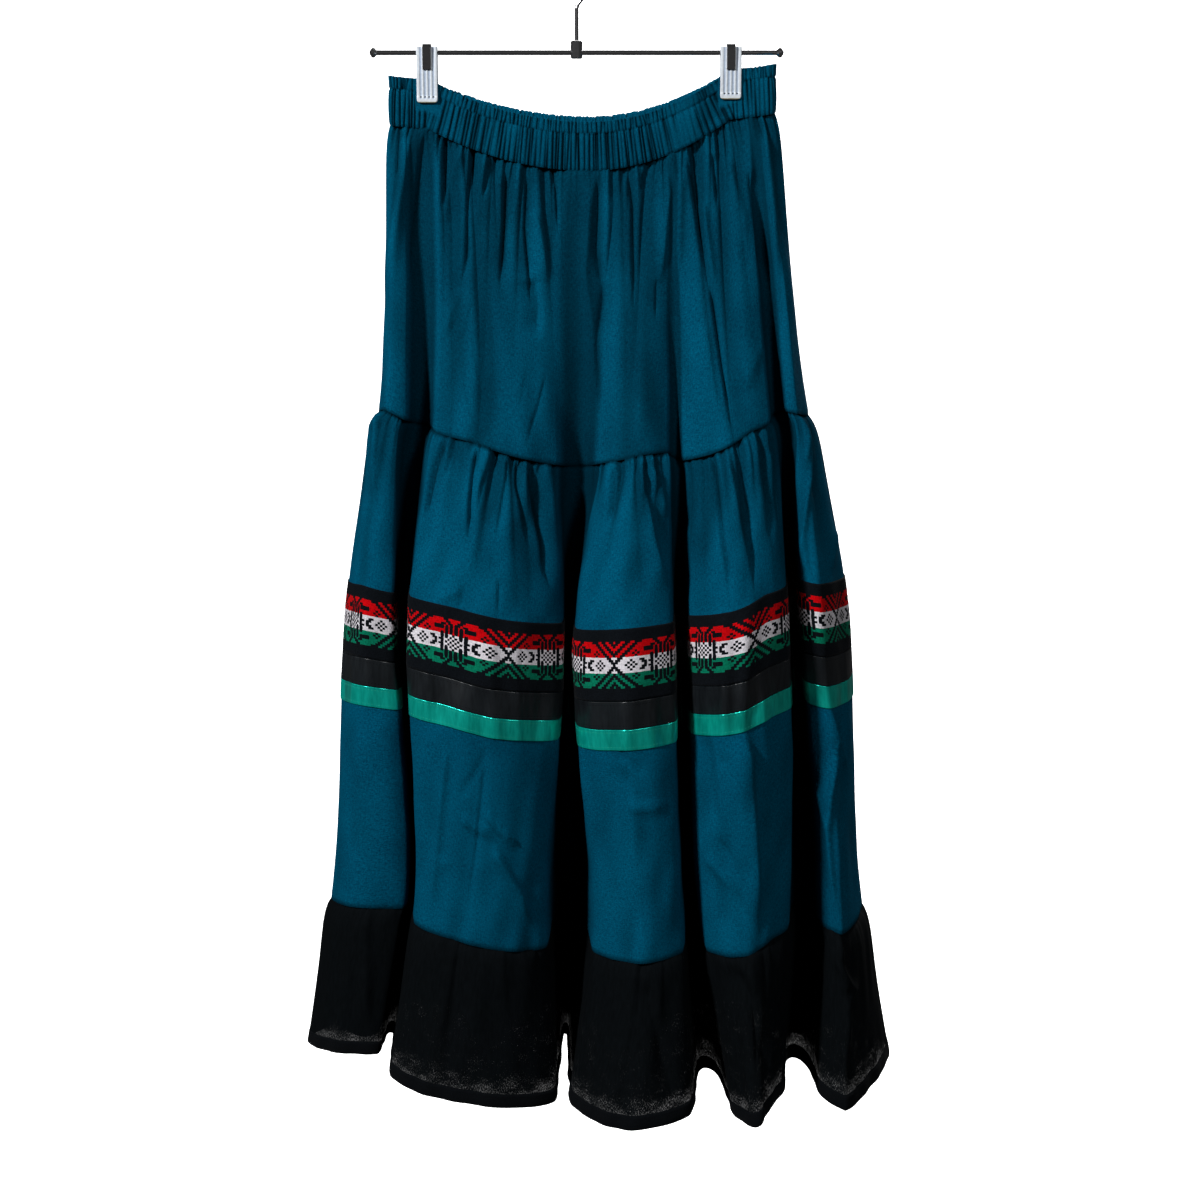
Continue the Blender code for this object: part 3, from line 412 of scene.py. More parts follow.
FULL_TROUGH = 2.6  # mm; shallower ones are made shallower still
STEEP, GENTLE = 0.6, 2.2  # how wide a trough's left and right flanks are
FLANKS = {STEP: (3.0, 1.0), TROUGH: (STEEP, GENTLE), RIDGE: (1.5, 1.2)}
CREASE_BEGINS, CREASE_ENDS = 0.15, 0.35  # shares of its length over which a crease begins and ends
CREASE_FACING = 0.35  # a crease fades where the cloth turns further away than this


def cusps(run, below, pitch, depth, reach, width, draw):
    """Uneven sharp troughs along a seam that widen, drift and die away below it."""
    count = max(2, int(run[-1] / pitch))
    shifts = draw.uniform(-GATHER_SHIFT, GATHER_SHIFT, count)
    places = (np.arange(count) + 0.5 + shifts) * run[-1] / count
    depths = depth * draw.uniform(*GATHER_DEPTHS, count)
    reaches = reach * draw.uniform(*GATHER_REACHES, count)
    drifts = draw.normal(0, GATHER_DRIFT, count)
    widths = width * draw.uniform(*GATHER_WIDTHS, count)
    total = np.zeros((len(below), len(run)))
    for k in range(count):
        fade = np.exp(-((below / reaches[k]) ** GATHER_FADES))
        broad = widths[k] * (1 + GATHER_WIDENS * below / reach)
        off = (run[None] - places[k] - (drifts[k] * below)[:, None]) / broad[:, None]
        off = np.where(off < 0, -off / STEEP, off / GENTLE)
        total -= depths[k] * fade[:, None] * np.exp(-(off**GATHER_SHARP))
    return total


def ripple(run, falls, draw):
    """A faint unevenness of the cloth, longer down the skirt than round it."""
    total = np.zeros((len(falls), len(run)))
    for _ in range(RIPPLES):
        round_it, down_it = draw.uniform(*RIPPLE_ROUND) * MM, draw.uniform(*RIPPLE_DOWN) * MM
        turn, phase = draw.choice((-1, 1)), draw.uniform(0, 2 * math.pi)
        angle = run[None] / round_it + turn * falls[:, None] / down_it
        total += np.sin(2 * math.pi * angle + phase)
    return total * RIPPLE / RIPPLES**0.5


def crease_field(points, normals, half):
    """The height of the listed creases, by their place as seen from that side."""
    total = np.zeros(points.shape[:2])
    x, z = points[..., 0], points[..., 2]
    for kind, height, width, *path in CREASES[half]:
        path = np.array(path, float) * MM
        lengths = run_of(path)
        best = np.full(total.shape, 1.0)
        side, taper = np.ones(total.shape), np.zeros(total.shape)
        for k in range(len(path) - 1):
            a, step = path[k], path[k + 1] - path[k]
            share = ((x - a[0]) * step[0] + (z - a[1]) * step[1]) / (step @ step)
            share = np.clip(share, 0, 1)
            off_x, off_z = x - a[0] - share * step[0], z - a[1] - share * step[1]
            off = np.hypot(off_x, off_z)
            place = (lengths[k] + share * (lengths[k + 1] - lengths[k])) / lengths[-1]
            end = smooth(place / CREASE_BEGINS) * smooth((1 - place) / CREASE_ENDS)
            nearer = off < best
            taper = np.where(nearer, end, taper)
            side = np.where(nearer, np.sign(step[0] * off_z - step[1] * off_x), side)
            best = np.minimum(off, best)
        broad = width * MM * np.where(side < 0, *FLANKS[kind])
        power, gain = RIDGE_SHARP, RIDGE_GAIN
        if kind == TROUGH:
            power, gain = TROUGH_SHARP, -TROUGH_GAIN * min(1.0, height / FULL_TROUGH)
        total += gain * height * MM * taper * np.exp(-((best / broad) ** power))
    facing = normals[..., 1] * (1 if half == "back" else -1)
    return total * smooth(facing / CREASE_FACING)


def puff(points, fall, below, length, height):
    """How the cloth swells away from the skirt's middle under a seam, back to nothing at its foot."""
    rows = folds_at(fall)
    left, right = rows[0, 0], rows[RIGHT_SEAM, 0]
    wide = (right - left) / 2
    deep = wide / 2
    across = (points[:, 0] - (left + right) / 2) / wide
    out = points[:, 1] / deep
    away = np.stack((across / wide, out / deep, np.zeros(len(points))), axis=1)
    away /= np.maximum(np.linalg.norm(away, axis=1), 1e-9)[:, None]
    swell = height * (1 - math.exp(-below / SWELL_GROWS)) * math.exp(-below / SWELL_FADES)
    return away * (np.minimum(1.0, np.hypot(across, out)) * swell * (1 - below / length))[:, None]


def normals_of(points):
    normals = np.cross(np.gradient(points, axis=0), np.gradient(points, axis=1))
    return normals / np.maximum(np.linalg.norm(normals, axis=2), 1e-12)[..., None]


TIERS = {
    "upper_tier": (0.0, UPPER_SEAM),
    "middle_tier": (UPPER_SEAM, FLOUNCE_SEAM),
    "hem_flounce": (FLOUNCE_SEAM, HEM),
}


def surface(tier, half, t, falls):
    """The outside of a tier's cloth at the places t and the levels falls, with its relief, its normals,
    and the shade painted into its gathers, creases, seams and valleys.
    """
    top, foot = TIERS[tier]
    first, last = HALVES[half]
    run = np.interp(t, *probed(half, top + RUN_LEVEL))
    base = np.array([ring(t, fall) for fall in falls])
    normals = normals_of(base)
    below = np.maximum(falls - top, 0.0)
    seed = TIER_SEED + 10 * list(TIERS).index(tier)
    draw = np.random.default_rng(seed + (half == "back"))
    relief = np.zeros(base.shape[:2])
    for pitch, depth, reach, width in GATHERS[tier]:
        relief += cusps(run, below, pitch * MM, depth * MM, reach * MM, width * MM, draw)
    relief += ripple(run, falls, draw)
    relief *= room(t)[None]
    # Painted shade: the troughs of the gathers and the deeper creases are darkened in the cloth's colour
    dark = GATHER_SHADE * np.clip(-relief / FULL_SHADE_DEPTH, 0, 1)
    creases = crease_field(base, normals, half)
    dark += CREASE_SHADE * np.clip((-creases - CREASE_SHADE_DEPTH) / FULL_SHADE_DEPTH, 0, 1)
    relief += creases
    # The seams at its top and foot draw the cloth in
    relief -= SEAM_DRAW[tier] * MM * bell(below / TOP_DRAW_WIDE)[:, None]
    relief -= FOOT_DRAW * bell((foot - falls) / FOOT_DRAW_WIDE)[:, None]
    # So do the side seams, where the two halves meet
    sides = np.minimum(t - first, last - t)
    relief *= smooth(sides / SIDE_TAPER)[None]
    relief -= SIDE_DRAW * bell(sides / SIDE_DRAW_WIDE)[None]
    points = base + normals * relief[..., None]
    for i, fall in enumerate(falls):
        points[i] += puff(base[i], fall, below[i], foot - top, SWELL[tier] * MM)
    points -= normals * (UNDER_SEAM * (falls < top))[:, None, None]
    # Painted shade along the seam at the tier's top and at its foot, and down the valleys between the
    # lobes
    at_top = SEAM_SHADE[tier] * bell(below / SEAM_WIDE)
    dark += (at_top + FOOT_SHADE * bell((foot - falls) / SEAM_WIDE))[:, None]
    painted_shade = 1 - (1 - np.minimum(dark, MOST_SHADE)) * (1 - in_valley(t, falls))
    return points, normals_of(points), painted_shade


# Meshes

# Length, gap and width of the stitches of each seam, in mm, and their height as a share of their
# width
RIBBON_STITCH, HEM_STITCH, BAND_STITCH = (1.8, 1.2, 0.32), (2.2, 1.0, 0.4), (1.4, 1.0, 0.4)
STITCH_HEIGHT = 0.45
STITCH_LIFT = 0.15 * MM  # of the waistband's, off the cloth


def grid_faces(rows, columns):
    at = np.arange(rows * columns).reshape(rows, columns)
    corners = (at[:-1, :-1], at[1:, :-1], at[1:, 1:], at[:-1, 1:])
    return np.stack([c.ravel() for c in corners], axis=1)


def grid_object(name, points, finishes, uv, painted_shade=None, picks=None):
    """A piece from a grid of points, rows down the skirt and columns round it."""
    faces = grid_faces(*points.shape[:2])
    return mesh_object(name, points.reshape(-1, 3), faces, finishes, uv, painted_shade, picks)


def mesh_object(name, points, faces, finishes, uv=None, painted_shade=None, picks=None):
    mesh = bpy.data.meshes.new(name)
    mesh.from_pydata(np.asarray(points).tolist(), [], [list(face) for face in faces])
    for finish in finishes if isinstance(finishes, (list, tuple)) else (finishes,):
        mesh.materials.append(finish)
    if picks is not None:
        mesh.polygons.foreach_set("material_index", np.asarray(picks, int).ravel())
    if uv is not None:
        layer = mesh.uv_layers.new(name="cloth")
        loops = np.zeros(len(mesh.loops), int)
        mesh.loops.foreach_get("vertex_index", loops)
        layer.data.foreach_set("uv", uv.reshape(-1, 2)[loops].ravel())
    # The shade painted on each point of the piece, by which its finishes darken their colour
    if painted_shade is not None:
        layer = mesh.attributes.new("painted_shade", "FLOAT", "POINT")
        layer.data.foreach_set("value", np.asarray(painted_shade, float).ravel())
    mesh.update()
    mesh.shade_smooth()
    made = bpy.data.objects.new(name, mesh)
    bpy.context.scene.collection.objects.link(made)
    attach(made, "root")
    return made


def cloth_uv(points, falls):
    """Coordinates along the cloth: the run round the middle row, and the level."""
    run = run_of(points[len(points) // 2])
    return np.stack(np.meshgrid(run, -np.asarray(falls)), axis=2)


def declare(node):
    """Hides the solid that a sheet of cloth stands for."""
    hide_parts(node)


def dashes(name, points, normals, size, finish, slot):
    """A row of stitches along a line of points on the cloth."""
    length, gap, width = (v * MM for v in size)
    run = run_of(points)
    starts = np.arange(gap, run[-1] - length - gap, length + gap)
    made_points, faces = [], []
    for start in starts:
        ends = [
            np.array([np.interp(s, run, points[:, k]) for k in range(3)])
            for s in (start, start + length)
        ]
        out = np.array([np.interp(start, run, normals[:, k]) for k in range(3)])
        out /= np.linalg.norm(out)
        ahead = ends[1] - ends[0]
        across = np.cross(ahead / np.linalg.norm(ahead), out) * width / 2
        middle = (ends[0] + ends[1]) / 2
        n = len(made_points)
        lift = out * width * STITCH_HEIGHT
        made_points += [ends[0], middle + across, middle + lift, middle - across, ends[1]]
        faces += [(n, n + 1, n + 2), (n, n + 2, n + 3), (n + 1, n + 4, n + 2), (n + 2, n + 4, n + 3)]
    mesh_object(name, made_points, faces, finish)


# Finishes


def srgb(*values):
    """Linear colour from the 0 to 255 values of a screen."""
    shares = [v / 255 for v in values]
    return [s / 12.92 if s <= 0.04045 else ((s + 0.055) / 1.055) ** 2.4 for s in shares]


def new_material(name):
    made = bpy.data.materials.new(name)
    made.use_nodes = True
    tree = made.node_tree
    return made, tree, tree.nodes["Principled BSDF"]


def add_node(tree, kind, **values):
    node = tree.nodes.new(kind)
    for key, value in values.items():
        if key in node.inputs:
            node.inputs[key].default_value = value
        else:
            setattr(node, key, value)
    return node


def link(tree, output, target):
    tree.links.new(output, target)


def scaled(tree, scale, source="Object"):
    """Texture coordinates stretched by scale along each axis."""
    where = add_node(tree, "ShaderNodeTexCoord")
    mapping = add_node(tree, "ShaderNodeMapping", Scale=scale)
    link(tree, where.outputs[source], mapping.inputs["Vector"])
    return mapping.outputs["Vector"]


def mixed_colour(tree, factor, dark, light, low=0.3, high=0.7):
    ramp = add_node(tree, "ShaderNodeValToRGB")
    ramp.color_ramp.elements[0].color = (*dark, 1)
    ramp.color_ramp.elements[1].color = (*light, 1)
    ramp.color_ramp.elements[0].position = low
    ramp.color_ramp.elements[1].position = high
    link(tree, factor, ramp.inputs["Fac"])
    return ramp.outputs["Color"]


def noise(tree, scale, detail=3.0, source="UV", roughness=0.6):
    made = add_node(tree, "ShaderNodeTexNoise", Scale=1.0, Detail=detail, Roughness=roughness)
    link(tree, scaled(tree, scale, source), made.inputs["Vector"])
    return made.outputs["Fac"]


def ranged(tree, value, source, target):
    """The value, taken from one range to another and held inside it."""
    made = add_node(tree, "ShaderNodeMapRange")
    for word, limits in (("From", source), ("To", target)):
        for end, limit in zip(("Min", "Max"), limits):
            made.inputs[f"{word} {end}"].default_value = limit
    link(tree, value, made.inputs["Value"])
    return made.outputs["Result"]


def blended(tree, first, second, factor):
    made = add_node(tree, "ShaderNodeMix", Factor=factor)
    link(tree, first, made.inputs["A"])
    link(tree, second, made.inputs["B"])
    return made.outputs["Result"]


def shade(shader, **values):
    """Sets the shader's own values; a name's words are joined by underscores."""
    for name, value in values.items():
        shader.inputs[name.replace("_", " ")].default_value = value


def bumped(tree, shader, height, strength, distance):
    bump = add_node(tree, "ShaderNodeBump", Strength=strength, Distance=distance)
    link(tree, height, bump.inputs["Height"])
    link(tree, bump.outputs["Normal"], shader.inputs["Normal"])


def with_painted_shade(tree, colour, most):
    """The colour with shade painted in: made darker where the cloth lies deep between two ridges, at its
    seams and down its valleys.
    """
    painted_shade = add_node(tree, "ShaderNodeAttribute", attribute_name="painted_shade")
    share = ranged(tree, painted_shade.outputs["Fac"], (0.0, 1.0), (1.0, 1.0 - most))
    scale = add_node(tree, "ShaderNodeVectorMath", operation="SCALE")
    link(tree, colour, scale.inputs[0])
    link(tree, share, scale.inputs["Scale"])
    return scale.outputs["Vector"]


# How often the marks of each finish come in a metre, along and down the cloth; dye patches are
# also counted through it
SLUBS, WEFTS, WEAVE, DYE_PATCHES = (900, 300, 1), (300, 900, 1), (900, 900, 1), (22, 22, 22)
WEFT_SHARE, PATCH_SHARE = 0.45, 0.12
FLOATS, SATIN_WAVES = (300, 60, 1), (30, 4, 1)
GRAINS, GRAIN_DARK = (400, 400, 400), 0.85
GAUZE_SLUBS, GAUZE_WEAVE = (400, 90, 1), (1200, 1200, 1)
GAPS, GAP_PATCHES, GAP_PATCH_SHARE = (1300, 500, 1), (70, 90, 1), 0.35
GAPS_OPEN, GAPS_CLEAR = (0.82, 1.0), (0.0, 0.085)  # where they begin, and how clear they get
HEM_BAND, GAUZE_OPENS, HEM_OPENS = 13 * MM, 22 * MM, 0.17


def cotton(name, dark, light, roughness=0.9, sheen=0.03, weave=0.35, painted_shade=0.0):
    """Plain woven cotton: threads both ways, slubs, patches that took the dye unevenly, and, where
    asked, painted shade in its troughs, seams and valleys.
    """
    made, tree, shader = new_material(name)
    slubs = noise(tree, SLUBS, 6.0, roughness=0.75)
    wefts = noise(tree, WEFTS, 6.0, roughness=0.75)
    patches = noise(tree, DYE_PATCHES, 4.0, "Object")
    threads = blended(tree, slubs, wefts, WEFT_SHARE)
    colour = blended(tree, threads, patches, PATCH_SHARE)
    colour = mixed_colour(tree, colour, dark, light, 0.38, 0.62)
    # Shade painted into the cloth's troughs, seams and valleys, as strong as the last argument says
    if painted_shade:
        colour = with_painted_shade(tree, colour, painted_shade)
    link(tree, colour, shader.inputs["Base Color"])
    bumped(tree, shader, noise(tree, WEAVE, 3.0), weave, 0.7 * MM)
    shade(shader, Roughness=roughness, Sheen_Weight=sheen, Sheen_Roughness=0.5)
    shade(shader, Specular_IOR_Level=0.03)
    return made


def satin(name, dark, light, roughness, shine, metallic):
    """Satin ribbon: long floats across its width, so that it shines along the skirt."""
    made, tree, shader = new_material(name)
    colour = mixed_colour(tree, noise(tree, FLOATS, 3.0), dark, light)
    # Shade painted into the ribbon where it lies in creases, at seams and down valleys
    link(tree, with_painted_shade(tree, colour, 0.9), shader.inputs["Base Color"])
    bumped(tree, shader, noise(tree, SATIN_WAVES, 1.0), 1.0, 18 * MM)
    shade(shader, Roughness=roughness, Specular_IOR_Level=shine, Metallic=metallic)
    return made


def gauze(name, dark, light):
    """Sheer open cotton, dense where it is gathered, with fine gaps that open towards its hem."""
    made, tree, shader = new_material(name)
    colour = mixed_colour(tree, noise(tree, GAUZE_SLUBS, 4.0), dark, light)
    link(tree, colour, shader.inputs["Base Color"])
    bumped(tree, shader, noise(tree, GAUZE_WEAVE, 2.0), 0.4, 0.4 * MM)
    shade(shader, Roughness=0.9, Specular_IOR_Level=0.1)
    clear = add_node(tree, "ShaderNodeBsdfTransparent")
    fine = noise(tree, GAPS, 3.0, roughness=0.8)
    wide = noise(tree, GAP_PATCHES, 2.0)
    total = add_node(tree, "ShaderNodeMath", operation="MULTIPLY_ADD")
    total.inputs[1].default_value = GAP_PATCH_SHARE
    link(tree, wide, total.inputs[0])
    link(tree, fine, total.inputs[2])
    # The coordinate down the cloth is minus its level
    where = add_node(tree, "ShaderNodeTexCoord")
    parts = add_node(tree, "ShaderNodeSeparateXYZ")
    link(tree, where.outputs["UV"], parts.inputs["Vector"])
    near_hem = (HEM_BAND + GAUZE_OPENS - HEM, HEM_BAND - HEM)
    near = ranged(tree, parts.outputs["Y"], near_hem, (0.0, HEM_OPENS))
    opened = add_node(tree, "ShaderNodeMath", operation="ADD")
    link(tree, total.outputs["Value"], opened.inputs[0])
    link(tree, near, opened.inputs[1])
    mix = add_node(tree, "ShaderNodeMixShader")
    link(tree, ranged(tree, opened.outputs["Value"], GAPS_OPEN, GAPS_CLEAR), mix.inputs["Fac"])
    link(tree, shader.outputs["BSDF"], mix.inputs[1])
    link(tree, clear.outputs["BSDF"], mix.inputs[2])
    link(tree, mix.outputs["Shader"], tree.nodes["Material Output"].inputs["Surface"])
    return made


def plain(name, colour, roughness, metallic, grain):
    """Metal or plastic with a faint grain."""
    made, tree, shader = new_material(name)
    grains = noise(tree, GRAINS, 3.0, "Object")
    darker = [c * GRAIN_DARK for c in colour]
    link(tree, mixed_colour(tree, grains, darker, colour), shader.inputs["Base Color"])
    bumped(tree, shader, grains, grain, 0.2 * MM)
    shade(shader, Roughness=roughness, Metallic=metallic)
    return made



# The last number of a cloth is how much shade is painted into its troughs, seams and valleys
TEAL = cotton("teal_cotton_cloth", srgb(0, 58, 82), srgb(0, 104, 132), 0.95, 0.0, 0.9, 0.88)
BLACK_SATIN = satin("black_satin_cloth", srgb(20, 24, 28), srgb(32, 37, 41), 0.36, 0.6, 0.0)
GREEN_SATIN = satin("green_satin_cloth", srgb(0, 190, 174), srgb(24, 222, 204), 0.32, 0.8, 0.6)
GAUZE = gauze("black_gauze_cloth", srgb(2, 6, 9), srgb(8, 14, 18))
GAUZE_HEM = cotton("black_gauze_hem_cloth", srgb(9, 12, 15), srgb(17, 20, 24))
GROUND = cotton("jacquard_black", srgb(10, 14, 18), srgb(22, 27, 33), 0.8, weave=0.9, painted_shade=0.8)
RED = cotton("jacquard_red", srgb(158, 2, 10), srgb(218, 12, 24), 0.75, weave=0.9, painted_shade=0.92)
WHITE = cotton("jacquard_white", srgb(178, 174, 180), srgb(236, 233, 238), 0.75, weave=0.9, painted_shade=0.92)
GREEN = cotton("jacquard_green", srgb(0, 92, 72), srgb(12, 138, 108), 0.75, weave=0.9, painted_shade=0.92)
BLACK_THREAD = cotton("black_thread", srgb(6, 8, 11), srgb(14, 17, 21))
TEAL_THREAD = cotton("teal_thread", srgb(0, 50, 68), srgb(0, 66, 88))
GREEN_THREAD = cotton("green_thread", srgb(40, 170, 140), srgb(90, 205, 175), 0.6)
STEEL = plain("chrome_wire_polished", (0.78, 0.78, 0.8), 0.18, 1.0, 0.05)
PLATE = plain("clip_plate_satin", srgb(214, 220, 226), 0.4, 0.0, 0.05)
PLATE_GROOVE = plain("clip_plate_groove", srgb(172, 184, 200), 0.45, 0.0, 0.05)
PLATE_DOT = plain("clip_plate_dot", srgb(60, 66, 74), 0.6, 0.0, 0.05)
PLATE_LIP = plain("clip_plate_lip", srgb(222, 216, 190), 0.5, 0.0, 0.1)

# The tiers

# Grid of each tier, columns and rows, in front; the back has half of the columns
GRIDS = {"upper_tier": (860, 88), "middle_tier": (780, 108), "hem_flounce": (760, 48)}
# Shares of a tier's height in even rows, and in rows that are closer at its seam, where the
# gathers are finest
EVEN_ROWS, CLOSER_ROWS = 0.7, 0.3
ALLOWANCE = 1.5 * MM  # goes on under the piece above
RIBBON_COLUMNS = {"front": 760, "back": 500}
EDGE, EDGE_TURN, EDGE_FLAT, RIBBON_LIFT = 0.2 * MM, 0.3 * MM, 0.8 * MM, 0.9 * MM


def make_tier(tier, half, finish):
    columns, rows = GRIDS[tier]
    if half == "back":
        columns = columns // 2
    top, foot = TIERS[tier]
    t = even_places(half, (top + foot) / 2, columns)
    share = np.linspace(0, 1, rows + 1)
    falls = top + (foot - top) * (EVEN_ROWS * share + CLOSER_ROWS * share * share)
    falls = np.concatenate(((top - ALLOWANCE,), falls))
    points, _, painted_shade = surface(tier, half, t, falls)
    return grid_object(f"{tier}_{half}_cloth", points, finish, cloth_uv(points, falls), painted_shade)


def ribbon_falls(top, foot, rows):
    """Levels and offsets of a ribbon's rows: its edges are thin and turn down to the cloth."""
    inner = np.linspace(top + EDGE_FLAT, foot - EDGE_FLAT, rows + 1)
    above, below = (top + EDGE, top + EDGE_TURN), (foot - EDGE_TURN, foot - EDGE)
    falls = np.concatenate((above, inner, below))
    off = np.full(len(falls), RIBBON_LIFT)
    off[[0, -1]] = 0.0
    return falls, off


def make_ribbon(name, half, top, foot, finish, rows, thread, slot):
    t = even_places(half, RIBBON_TOP, RIBBON_COLUMNS[half])
    falls, off = ribbon_falls(top, foot, rows)
    points, normals, painted_shade = surface("middle_tier", half, t, falls)
    points = points + normals * off[:, None, None]
    made = grid_object(f"{name}_{half}_cloth", points, finish, cloth_uv(points, falls), painted_shade)
    declare(f"{name}_{half}")
    for row, word in ((3, "top"), (-4, "foot")):
        line = points[row], normals[row]
        dashes(f"{name}_{half}_{word}_stitches", *line, RIBBON_STITCH, thread, slot)


# The woven ribbon: half of its repeat, from the middle of the V motif to the middle of the column
# motif; # is a coloured thread, . the black ground
WOVEN_RED = (
    "#..##..##...#####..###",
    "..##..##..########..##",
    ".##..##..#######..#..#",
    "##..##..#####....#.#.#",
    "#..##..##.###....#.#.#",
    "..##..##.#.#######.#.#",
    ".##..####.######.#.#.#",
)
WOVEN_WHITE = (
    "##..############.#.##.",
    "#..####.###..###.#.#.#",
    "..####.#.###..#..##.#.",
    ".####.#.#.###.##.#.#.#",
)
REPEAT = 42
BLACK_SPREAD = 0.28  # of a stitch
STITCH_WIDE, STITCH_WOBBLE = 2.07 * MM, 0.16 * MM
WOVEN_EDGE, WOVEN_LIFT = 0.25 * MM, 1.0 * MM
# Run along the front's ribbon in mm, and the number of the stitch there: 0, 42, 84 ... are the
# middles of V motifs
STITCH_AT = (
    (0, 1), (41, 21), (84, 42), (205, 84), (248, 105), (297, 126), (334, 147), (508, 231),
    (550, 252), (593, 273), (735, 357), (782, 378), (825, 399), (943, 441), (986, 462), (1032, 484),
)
# Bands of the woven ribbon: height in mm, rows, and the colour's place in the list of finishes
BANDS = ((11.0, 5, 0), (13.9, 7, 1), (14.2, 7, 2), (13.4, 7, 3), (12.0, 5, 0))


def woven_rows():
    """Levels of the woven ribbon's rows, and each row's chart row and colour."""
    white = WOVEN_WHITE + WOVEN_WHITE[-2::-1]
    charts = (None, WOVEN_RED, white, WOVEN_RED[::-1], None)
    levels, rows = [RIBBON_TOP], []
    scale = JACQUARD / sum(band[0] for band in BANDS)
    for (height, count, colour), chart in zip(BANDS, charts):
        for k in range(count):
            levels.append(levels[-1] + height * scale / count)
            rows.append((chart[k] if chart else "." * (REPEAT // 2 + 1), colour))
    return np.array(levels), rows


def make_woven(half):
    """The woven ribbon, one face a stitch."""
    levels, rows = woven_rows()
    probe, run = probed(half, RIBBON_TOP + JACQUARD / 2)
    if half == "front":
        at = np.array(STITCH_AT, float)
        numbers = np.arange(at[0, 1], at[-1, 1] + 1)
        places = np.interp(numbers, at[:, 1], at[:, 0]) / at[-1, 0] * run[-1]
    else:
        numbers = np.arange(round(run[-1] / STITCH_WIDE) + 1)
        places = numbers / numbers[-1] * run[-1]
    t = np.interp(places, run, probe)
    falls = levels.copy()
    falls[0] += WOVEN_EDGE
    falls[-1] -= WOVEN_EDGE
    points, normals, painted_shade = surface("middle_tier", half, t, falls)
    draw = np.random.default_rng(WOVEN_SEED + (half == "back"))
    wobble = draw.uniform(-STITCH_WOBBLE, STITCH_WOBBLE, points.shape)
    wobble[[0, -1]] = 0
    wobble[:, [0, -1]] = 0
    outer = points + normals * WOVEN_LIFT + wobble
    picks = np.zeros((len(rows) + 2, len(t) - 1), int)
    for i, (chart, colour) in enumerate(rows):
        for j in range(len(t) - 1):
            column = int(numbers[j]) % REPEAT
            column = min(column, REPEAT - column)
            if chart[column] == "#":
                picks[i + 1, j] = colour
    # The black threads spread over the edges of the coloured ones
    woven = (picks > 0).astype(float)
    above, below = woven[:-1], woven[1:]
    share = np.pad((above + below) / 2, ((0, 0), (1, 1)))
    spread = BLACK_SPREAD * (share[:, 1:] - share[:, :-1])
    spread[:, [0, -1]] = 0
    outer += spread[..., None] * np.gradient(outer, axis=1)
    # A row on the cloth at its top and foot gives it its thickness
    grid = np.concatenate((points[:1], outer, points[-1:]))
    levels = np.concatenate((levels[:1], levels, levels[-1:]))
    painted_shade = np.concatenate((painted_shade[:1], painted_shade, painted_shade[-1:]))
    node, finishes = f"jacquard_ribbon_{half}", (GROUND, RED, WHITE, GREEN)
    made = grid_object(node + "_cloth", grid, finishes, cloth_uv(grid, levels), painted_shade, picks)
    declare(node)


# Section of the hem from its inside round its foot: how far out, and how far above the foot, in mm
HEM_OUT = (-0.7, -0.6, -0.2, 0.1, 0.5, 0.7, 0.7, 0.6, 0.5, 0.3, 0.0)
HEM_UP = (13, 6, 1, 0, 0, 1, 3, 6, 10, 13, 13)


def make_hem_band(half):
    """The flounce's hem: the gauze turned twice and topstitched."""
    t = even_places(half, HEM, RIBBON_COLUMNS[half])
    falls = HEM - np.array(HEM_UP) * MM
    order = np.unique(falls)
    points, normals, _ = surface("hem_flounce", half, t, order)
    rows = np.searchsorted(order, falls)
    grid = points[rows] + normals[rows] * (np.array(HEM_OUT) * MM)[:, None, None]
    made = grid_object(f"hem_band_{half}_cloth", grid, GAUZE_HEM, cloth_uv(grid, falls))
    line = grid[8], normals[rows[8]]
    dashes(f"hem_band_{half}_stitches", *line, HEM_STITCH, BLACK_THREAD, "black_gauze")
    return made


# The waistband

BAND_WALL = 2.3 * MM
RIBS = {"header": (2.9, 1.5, 0.7), "casing": (3.3, 2.0, 0.8)}  # pitch, depth, half width in mm
PLAIN_PATCH = (92 * MM, 9 * MM)  # x and half width of a stretch that is hardly gathered
RIB_LEAN = 0.55
# How uneven the ribs are, as shares of each measure
RIB_STEPS, RIB_DEPTHS, RIB_WIDTHS, RIB_WANDER = (0.45, 1.6), (0.25, 1.25), (0.7, 1.3), 0.5 * MM
# A rib's sharpness and deepest depth, then how much shade is painted into its trough and how deep a
# trough is when painted darkest
RIB_SHARP, RIB_DEEPEST, RIB_SHADE, RIB_FULL = 1.3, 1.7, 0.9, 1.6 * MM
BAND_COLUMNS = {"front": 1200, "back": 700}
CASING_ROWS, HEADER_ROWS, INNER_ROWS = 21, 12, 6
BAND_FOOT = 0.15 * MM  # the casing's cloth ends this far above its foot
# Along X and down, where the jaws stop to press the ribs flat, and over how far they come back
JAW_SIDE, JAW_SIDE_FADE, JAW_BELOW, JAW_BELOW_FADE = 9 * MM, 3 * MM, 25 * MM, 4 * MM
CASING_BULGE, HEADER_BULGE, BULGE_ROUND = 1.0 * MM, 0.5 * MM, 0.6
PINCH, PINCH_TOP, PINCH_FOOT = 0.7 * MM, 1.1 * MM, 1.3 * MM  # depth, and the stitch lines' widths
RUFFLE, INSIDE_RIBS, BAND_GATHERED, PLAIN_SHARE = 0.8, 0.8, 1.9, 0.85


